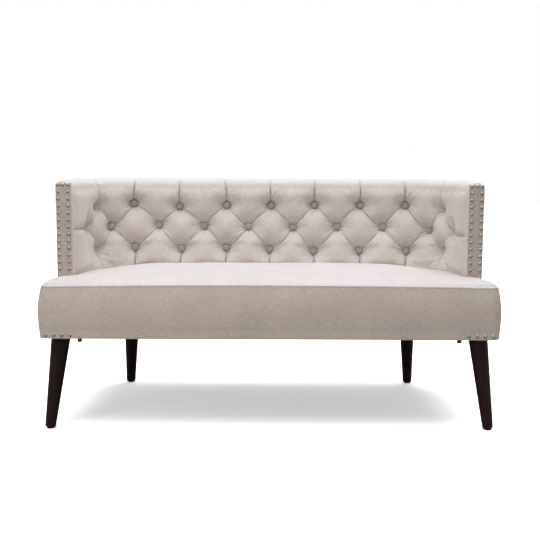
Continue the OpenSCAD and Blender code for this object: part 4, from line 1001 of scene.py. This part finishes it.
def outside_shell(name, line, normal, node, seed):
    """A sheet of cover over the outside frame along a line, turned under the rail at its foot."""
    line, normal = np.asarray(line, float), np.asarray(normal, float)
    run = distances(line)
    prof = rounded(SHELL_PROFILE, 1) * MM
    outer = [prof[0]]
    for a, b in zip(prof[:-1], prof[1:]):
        k = max(1, int(np.linalg.norm(b - a) / SHELL_STEP))
        outer += [a + (b - a) * (i + 1) / k for i in range(k)]
    inner = np.array(outer)[::-1]
    above = inner[:, 1] > UNDER + 0.001
    inner = inner + np.where(above[:, None], (SHELL_T, 0), (0.0004, 0.0012))
    inner[:, 0] = np.where(inner[:, 1] > UNDER + 0.002, np.maximum(inner[:, 0], SHELL_T), inner[:, 0])
    face = np.arange(2 * len(outer)) < len(outer)
    depth, h = np.concatenate([outer, inner]).T
    body = np.clip((h - UNDER) / 0.05, 0, 1) * np.clip((OUTSIDE_TOP - h) / 0.02, 0, 1) * face
    edge = np.exp(-np.minimum(run, run[-1] - run) / 0.004)[:, None]
    run = run[:, None]
    inset = depth + (0.0011 * edge + 0.0005) * face * (h > UNDER + 0.002)
    inset = inset + 0.0005 * soft_noise(run / 0.10, h / 0.09, seed) * body
    gathers = soft_noise(run / 0.016, h / 0.05 + 5, seed + 1) * np.exp(-(h - UNDER) / 0.03)
    inset = inset + 0.00035 * gathers * body
    at = line[:, None] - inset[..., None] * normal[:, None]
    up = np.broadcast_to(np.maximum(h, UNDER), inset.shape)
    pts = np.concatenate([at, up[..., None]], -1)
    uv = np.stack([np.broadcast_to(run, inset.shape), np.broadcast_to(h, inset.shape)], -1)
    obj = piece(name, pts, net(len(h), len(line), wrap_rows=True, caps=True), uv, material("linen"))
    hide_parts(node)


class SETTEE_OT_outside_covers(bpy.types.Operator):
    """Plain covers of the outside: the back, its two round corners and the two wings"""
    bl_idname = "settee.outside_covers"
    bl_label = "Outside covers"

    def execute(self, context):
        back = [(x, BACK) for x in np.linspace(-OUT_CX, OUT_CX, 120)]
        outside_shell("outside_back_cloth", back, [(0, 1)] * len(back), "outside_back_cover", 61)
        for name, side in (("left", -1), ("right", 1)):
            out = np.array([(side * math.sin(t), math.cos(t)) for t in np.linspace(0, math.pi / 2, 50)])
            corner = np.array([side * OUT_CX, OUT_CY]) + OUT_R * out
            outside_shell(f"outside_corner_cloth_{name}", corner, out,
                          f"outside_corner_cover_{name}", 63 + side)
            wing = [(side * WING_OUT, y) for y in np.linspace(OUT_CY, WING_Y + 0.0002, 40)]
            outside_shell(f"outside_wing_cloth_{name}", wing, [(side, 0)] * len(wing),
                          f"outside_wing_cover_{name}", 67 + side)
        return {"FINISHED"}


DUST_IN, DUST_FRONT, DUST_R = 0.0085, 0.0155, 0.0165
LEG_PLATES, PLATE_HALF = ((0.605, -0.253), (0.471, 0.257)), 0.036
BOLT_AT, BOLT_HOLE = (0.543, -0.297), 0.0093


class SETTEE_OT_dust_cover(bpy.types.Operator):
    """Black cloth under the seat, cut out round the leg plates and the corner bolts"""
    bl_idname = "settee.dust_cover"
    bl_label = "Dust cover"

    def execute(self, context):
        w, y0 = WING_OUT - DUST_IN, FRONT + DUST_FRONT
        quarter = np.linspace(0, math.pi / 2, 8)
        outline = [(w - DUST_R * (1 - math.sin(t)), y0 + DUST_R * (1 - math.cos(t))) for t in quarter]
        big = OUT_R - DUST_IN
        outline += [(OUT_CX + big * math.cos(t), OUT_CY + big * math.sin(t))
                    for t in np.linspace(0, math.pi / 2, 24)]
        outline += [(-x, y) for x, y in reversed(outline)]
        holes = []
        for side in (-1, 1):
            for x, y in LEG_PLATES:
                e = PLATE_HALF
                square = [(x - e, y - e), (x + e, y - e), (x + e, y + e), (x - e, y + e)]
                holes.append([(side * min(px, w - 0.0015), max(y0 + 0.0015, min(py, BACK - 0.010)))
                              for px, py in square])
            holes.append([(side * BOLT_AT[0] + BOLT_HOLE * math.cos(t), BOLT_AT[1] + BOLT_HOLE * math.sin(t))
                          for t in np.linspace(0, 2 * math.pi, 17)[:-1]])
        curve = bpy.data.curves.new("dust_outline", "CURVE")
        curve.dimensions, curve.fill_mode, curve.extrude = "2D", "BOTH", 0.0004
        for loop in [outline, *holes]:
            spline = curve.splines.new("POLY")
            spline.points.add(len(loop) - 1)
            spline.points.foreach_set("co", np.array([(x, y, 0, 1) for x, y in loop], np.float32).ravel())
            spline.use_cyclic_u = True
        helper = bpy.data.objects.new("dust_outline", curve)
        context.scene.collection.objects.link(helper)
        flat = bpy.data.meshes.new_from_object(helper.evaluated_get(context.evaluated_depsgraph_get()))
        verts = [(v.co.x, v.co.y, v.co.z + UNDER - 0.0005) for v in flat.vertices]
        faces = [list(f.vertices) for f in flat.polygons]
        bpy.data.objects.remove(helper)
        bpy.data.meshes.remove(flat)
        bpy.data.curves.remove(curve)
        obj = piece("dust_cloth_under_seat", verts, faces, [v[:2] for v in verts], material("dust_cloth"))
        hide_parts("dust_cover")
        return {"FINISHED"}


# Parts that keep their own shape, and the stage

class SETTEE_OT_frame_finishes(bpy.types.Operator):
    """Finishes of the parts that keep their own shape: legs, nails, bolts and the inner frame"""
    bl_idname = "settee.frame_finishes"
    bl_label = "Frame finishes"

    def execute(self, context):
        slots = {row["node"]: row["material_slot"] for row in frame["record"]["subparts"]}
        for node, obj in frame["nodes"].items():
            for holder in obj.material_slots:
                holder.material = material(slots[node])
        return {"FINISHED"}


# Each lamp's place, what it faces and its size; the floor turns white between the two distances
LAMPS = (("lamp_above", (0.12, -0.24, 3.1), (0, 0.0, 0.4), (4.2, 3.0)),
         ("lamp_front", (-1.6, -2.3, 1.5), (0, 0, 0.45), (1.4, 1.4)),
         ("lamp_back", (0.5, 3.0, 1.9), (0, 0, 0.4), (3.0, 2.0)))
FLOOR_SIZE, FLOOR_WHITENS = 12.0, (1.2, 2.6)
CAMERA_AT = (-0.004, -3.006, 0.7973)


class SETTEE_OT_stage(bpy.types.Operator):
    """Pale floor, soft lamps and the camera at the height and angle of a low front view"""
    bl_idname = "settee.stage"
    bl_label = "Stage"

    def execute(self, context):
        s = context.scene.settee_stage
        scene = context.scene
        scene.view_settings.view_transform = "Standard"
        world = bpy.data.worlds.new("studio")
        scene.world = world
        world.use_nodes = True
        tree = world.node_tree
        tree.nodes.clear()
        rays = tree.nodes.new("ShaderNodeLightPath")
        share = rays.outputs["Is Camera Ray"]
        for kind in ("Is Glossy Ray", "Is Transmission Ray"):
            seen = tree.nodes.new("ShaderNodeMath")
            seen.operation = "MAXIMUM"
            tree.links.new(share, seen.inputs[0])
            tree.links.new(rays.outputs[kind], seen.inputs[1])
            share = seen.outputs[0]
        skies = []
        for strength in (s.ambient, 1.0):
            sky = tree.nodes.new("ShaderNodeBackground")
            sky.inputs["Color"].default_value = (1, 1, 1, 1)
            sky.inputs["Strength"].default_value = strength
            skies.append(sky.outputs[0])
        mix = tree.nodes.new("ShaderNodeMixShader")
        out = tree.nodes.new("ShaderNodeOutputWorld")
        for source, socket in zip((share, *skies), mix.inputs):
            tree.links.new(source, socket)
        tree.links.new(mix.outputs[0], out.inputs["Surface"])

        n = Nodes("pale_floor")
        path = n.add("LightPath")
        lit = n.add("MixShader", {0: path.outputs["Is Camera Ray"]})
        plain = n.add("BsdfDiffuse", {"Color": (0.4, 0.4, 0.4, 1)})
        shown = n.add("BsdfDiffuse", {"Color": (s.floor_gain, s.floor_gain, s.floor_gain, 1)})
        at = n.add("TexCoord").outputs["Object"]
        away = n.add("VectorMath", {0: at}, operation="LENGTH").outputs["Value"]
        white = n.ranged(away, (s.floor_glow, 1.0), FLOOR_WHITENS)
        glow = n.add("Emission", {"Color": (1, 1, 1, 1), "Strength": white})
        both = n.add("AddShader", {0: shown.outputs[0], 1: glow.outputs[0]})
        n.tree.links.new(plain.outputs[0], lit.inputs[1])
        n.tree.links.new(both.outputs[0], lit.inputs[2])
        n.tree.links.new(lit.outputs[0], n.tree.nodes["Material Output"].inputs["Surface"])
        mesh = bpy.data.meshes.new("floor")
        bm = bmesh.new()
        bmesh.ops.create_grid(bm, x_segments=4, y_segments=4, size=FLOOR_SIZE)
        bm.to_mesh(mesh)
        bm.free()
        floor = bpy.data.objects.new("floor", mesh)
        scene.collection.objects.link(floor)
        mesh.materials.append(n.material)

        for name, place, target, size in LAMPS:
            light = bpy.data.lights.new(name, "AREA")
            light.shape, light.size, light.size_y, light.energy = "RECTANGLE", *size, getattr(s, name)
            lamp = bpy.data.objects.new(name, light)
            scene.collection.objects.link(lamp)
            lamp.location = place
            lamp.rotation_euler = (Vector(target) - Vector(place)).to_track_quat("-Z", "Y").to_euler()

        cam = bpy.data.cameras.new("camera")
        cam.lens, cam.sensor_width = s.lens, 36.0
        camera = bpy.data.objects.new("camera", cam)
        scene.collection.objects.link(camera)
        pitch, yaw, roll = s.pitch, s.yaw, s.roll
        ahead = Vector((math.sin(yaw) * math.cos(pitch), math.cos(yaw) * math.cos(pitch), -math.sin(pitch)))
        right = Vector((math.cos(yaw), -math.sin(yaw), 0))
        up = right.cross(ahead)
        right, up = (math.cos(roll) * right + math.sin(roll) * up,
                     math.cos(roll) * up - math.sin(roll) * right)
        turn = Matrix((right, up, -ahead)).transposed().to_4x4()
        camera.matrix_world = Matrix.Translation(CAMERA_AT) @ turn
        scene.camera = camera
        return {"FINISHED"}


# Values that a user would change

class SetteeTufting(bpy.types.PropertyGroup):
    """Sizes of the tufted cover"""
    depth: bpy.props.FloatProperty(
        name="Depth", description="How far the pillows stand over the dimples",
        default=0.0310, unit="LENGTH")
    hold: bpy.props.FloatProperty(
        name="Hold", description="How far a button holds the cloth down round it",
        default=0.0195, unit="LENGTH")
    button_rest: bpy.props.FloatProperty(
        name="Button rest", description="Radius of the cloth flat under a button",
        default=0.0102, unit="LENGTH")
    fold_part: bpy.props.FloatProperty(
        name="Fold depth", description="Share of the depth that a fold takes away",
        default=0.40, subtype="FACTOR")
    fold_steep: bpy.props.FloatProperty(
        name="Steep side", description="Width of the rolled side over a fold",
        default=0.0033, unit="LENGTH")
    fold_wide: bpy.props.FloatProperty(
        name="Gentle side", description="Width of the gentle side under a fold",
        default=0.024, unit="LENGTH")
    dimple: bpy.props.FloatProperty(
        name="Dimple", description="Place of the cloth under a button, to the sitter",
        default=-0.0095, unit="LENGTH")
    bow: bpy.props.FloatProperty(
        name="Bow", description="Share of the folds' own bows that is kept", default=1.0, subtype="FACTOR")
    wing_lap: bpy.props.FloatProperty(
        name="Wing lap", description="How far the wing's pillows lap over the corner",
        default=0.006, unit="LENGTH")
    wing_bulge: bpy.props.FloatProperty(
        name="Wing bulge", description="Extra fullness of the wing's pillows",
        default=0.22, subtype="FACTOR")
    corner_swell: bpy.props.FloatProperty(
        name="Corner swell", description="How far the cover fills the corners' feet",
        default=0.019, unit="LENGTH")
    pressure: bpy.props.FloatProperty(
        name="Pressure", description="Pressure that fills the pillows in the simulation", default=60.0)
    slack: bpy.props.FloatProperty(
        name="Slack", description="Spare cloth in the simulation", default=0.02, subtype="FACTOR")
    most_move: bpy.props.FloatProperty(
        name="Most movement", description="Cap on the simulation's movement", default=0.004, unit="LENGTH")
    frames: bpy.props.IntProperty(
        name="Frames", description="Frames of the simulation", default=20, min=2)
    lap: bpy.props.FloatProperty(
        name="Lap", description="How far a pillow laps over the next one at a fold",
        default=0.0030, unit="LENGTH")
    crease: bpy.props.FloatProperty(
        name="Creases", description="Height of the creases round the buttons",
        default=0.0030, unit="LENGTH")
    top_roll: bpy.props.FloatProperty(
        name="Top roll", description="Radius of the cover's inner top edge", default=0.024, unit="LENGTH")
    cols: bpy.props.IntProperty(
        name="Columns", description="Columns of the mesh between two rows of buttons", default=40, min=6)
    rows: bpy.props.IntProperty(
        name="Rows", description="Rows of the mesh in each band", default=33, min=6)


class SetteeSeat(bpy.types.PropertyGroup):
    """Sizes of the seat"""
    edge_drop: bpy.props.FloatProperty(
        name="Edge drop", description="How far the top rolls down to its seam",
        default=0.0050, unit="LENGTH")
    edge_roll: bpy.props.FloatProperty(
        name="Edge roll", description="Width of the rolled edge", default=0.009, unit="LENGTH")
    pucker: bpy.props.FloatProperty(
        name="Pucker", description="Height of the puckers along the seam", default=0.0006, unit="LENGTH")


class SetteeFinish(bpy.types.PropertyGroup):
    """Colours of the finishes"""
    linen_colour: bpy.props.FloatVectorProperty(
        name="Linen", description="Colour of the cover",
        default=LINEN, subtype="COLOR", size=3, min=0, max=1)
    # Painted shade: the same linen made warmer for the border and wing fronts
    front_painted_shade_colour: bpy.props.FloatVectorProperty(
        name="Front linen", description="Colour of the border and wing fronts",
        default=PAINTED_SHADE_FRONT_LINEN, subtype="COLOR", size=3, min=0, max=1)
    # Painted lit tone: the same linen made greyer and darker for the seat's top
    seat_painted_lit_colour: bpy.props.FloatVectorProperty(
        name="Seat linen", description="Colour of the seat's top",
        default=PAINTED_LIT_SEAT_LINEN, subtype="COLOR", size=3, min=0, max=1)
    # Painted shade: the same linen made darker for the buttons
    button_painted_shade_colour: bpy.props.FloatVectorProperty(
        name="Buttons", description="Colour of the buttons' cloth",
        default=PAINTED_SHADE_BUTTON_LINEN, subtype="COLOR", size=3, min=0, max=1)
    leg_colour: bpy.props.FloatVectorProperty(
        name="Legs", description="Stain of the legs",
        default=(0.015, 0.0052, 0.004), subtype="COLOR", size=3, min=0, max=1)
    nail_colour: bpy.props.FloatVectorProperty(
        name="Nails", description="Antique plating of the nails",
        default=(0.33, 0.305, 0.28), subtype="COLOR", size=3, min=0, max=1)
    thread: bpy.props.FloatProperty(
        name="Thread", description="Distance between the linen's threads", default=0.0011, unit="LENGTH")


class SetteeStage(bpy.types.PropertyGroup):
    """Lamps, floor and camera"""
    ambient: bpy.props.FloatProperty(
        name="Ambient", description="Light from all round", default=0.30)
    lamp_above: bpy.props.FloatProperty(
        name="Lamp above", description="Power of the lamp above", default=140.0, unit="POWER")
    lamp_front: bpy.props.FloatProperty(
        name="Lamp in front", description="Power of the lamp in front", default=12.5, unit="POWER")
    lamp_back: bpy.props.FloatProperty(
        name="Lamp behind", description="Power of the lamp behind", default=12.0, unit="POWER")
    floor_gain: bpy.props.FloatProperty(
        name="Floor", description="How pale the floor looks", default=1.88)
    floor_glow: bpy.props.FloatProperty(
        name="Floor glow", description="White added to the floor as seen", default=0.27)
    lens: bpy.props.FloatProperty(
        name="Lens", description="Focal length in mm", default=64.16)
    pitch: bpy.props.FloatProperty(
        name="Pitch", description="Camera's angle downwards", default=0.1214, subtype="ANGLE")
    yaw: bpy.props.FloatProperty(
        name="Yaw", description="Camera's turn to the right", default=0.0016, subtype="ANGLE")
    roll: bpy.props.FloatProperty(
        name="Roll", description="Camera's roll", default=0.0044, subtype="ANGLE")


class SETTEE_PT_build(bpy.types.Panel):
    """Steps and sizes of the settee"""
    bl_label = "Tufted settee"
    bl_idname = "SETTEE_PT_build"
    bl_space_type = "VIEW_3D"
    bl_region_type = "UI"
    bl_category = "Settee"

    def draw(self, context):
        for group in GROUPS:
            owner = getattr(context.scene, group)
            box = self.layout.box()
            for key in owner.bl_rna.properties.keys():
                if key not in {"rna_type", "name"}:
                    box.prop(owner, key)
        for step in STEPS:
            self.layout.operator(step.bl_idname)


GROUPS = {"settee_tufting": SetteeTufting, "settee_seat": SetteeSeat, "settee_finish": SetteeFinish,
          "settee_stage": SetteeStage}
STEPS = (SETTEE_OT_frame_finishes, SETTEE_OT_tufted_cover, SETTEE_OT_buttons, SETTEE_OT_seat_top,
         SETTEE_OT_seat_border, SETTEE_OT_wing_fronts, SETTEE_OT_outside_covers, SETTEE_OT_dust_cover,
         SETTEE_OT_stage)


def register():
    for cls in (*GROUPS.values(), *STEPS, SETTEE_PT_build):
        bpy.utils.register_class(cls)
    for name, cls in GROUPS.items():
        setattr(bpy.types.Scene, name, bpy.props.PointerProperty(type=cls))


def unregister():
    for name in GROUPS:
        delattr(bpy.types.Scene, name)
    for cls in (SETTEE_PT_build, *reversed(STEPS), *reversed(list(GROUPS.values()))):
        bpy.utils.unregister_class(cls)


def main():
    """Makes the settee."""
    register()
    steps = bpy.ops.settee
    steps.frame_finishes()
    steps.tufted_cover()
    steps.buttons()
    steps.seat_top()
    steps.seat_border()
    steps.wing_fronts()
    steps.outside_covers()
    steps.dust_cover()
    steps.stage()


if __name__ == "__main__":
    main()
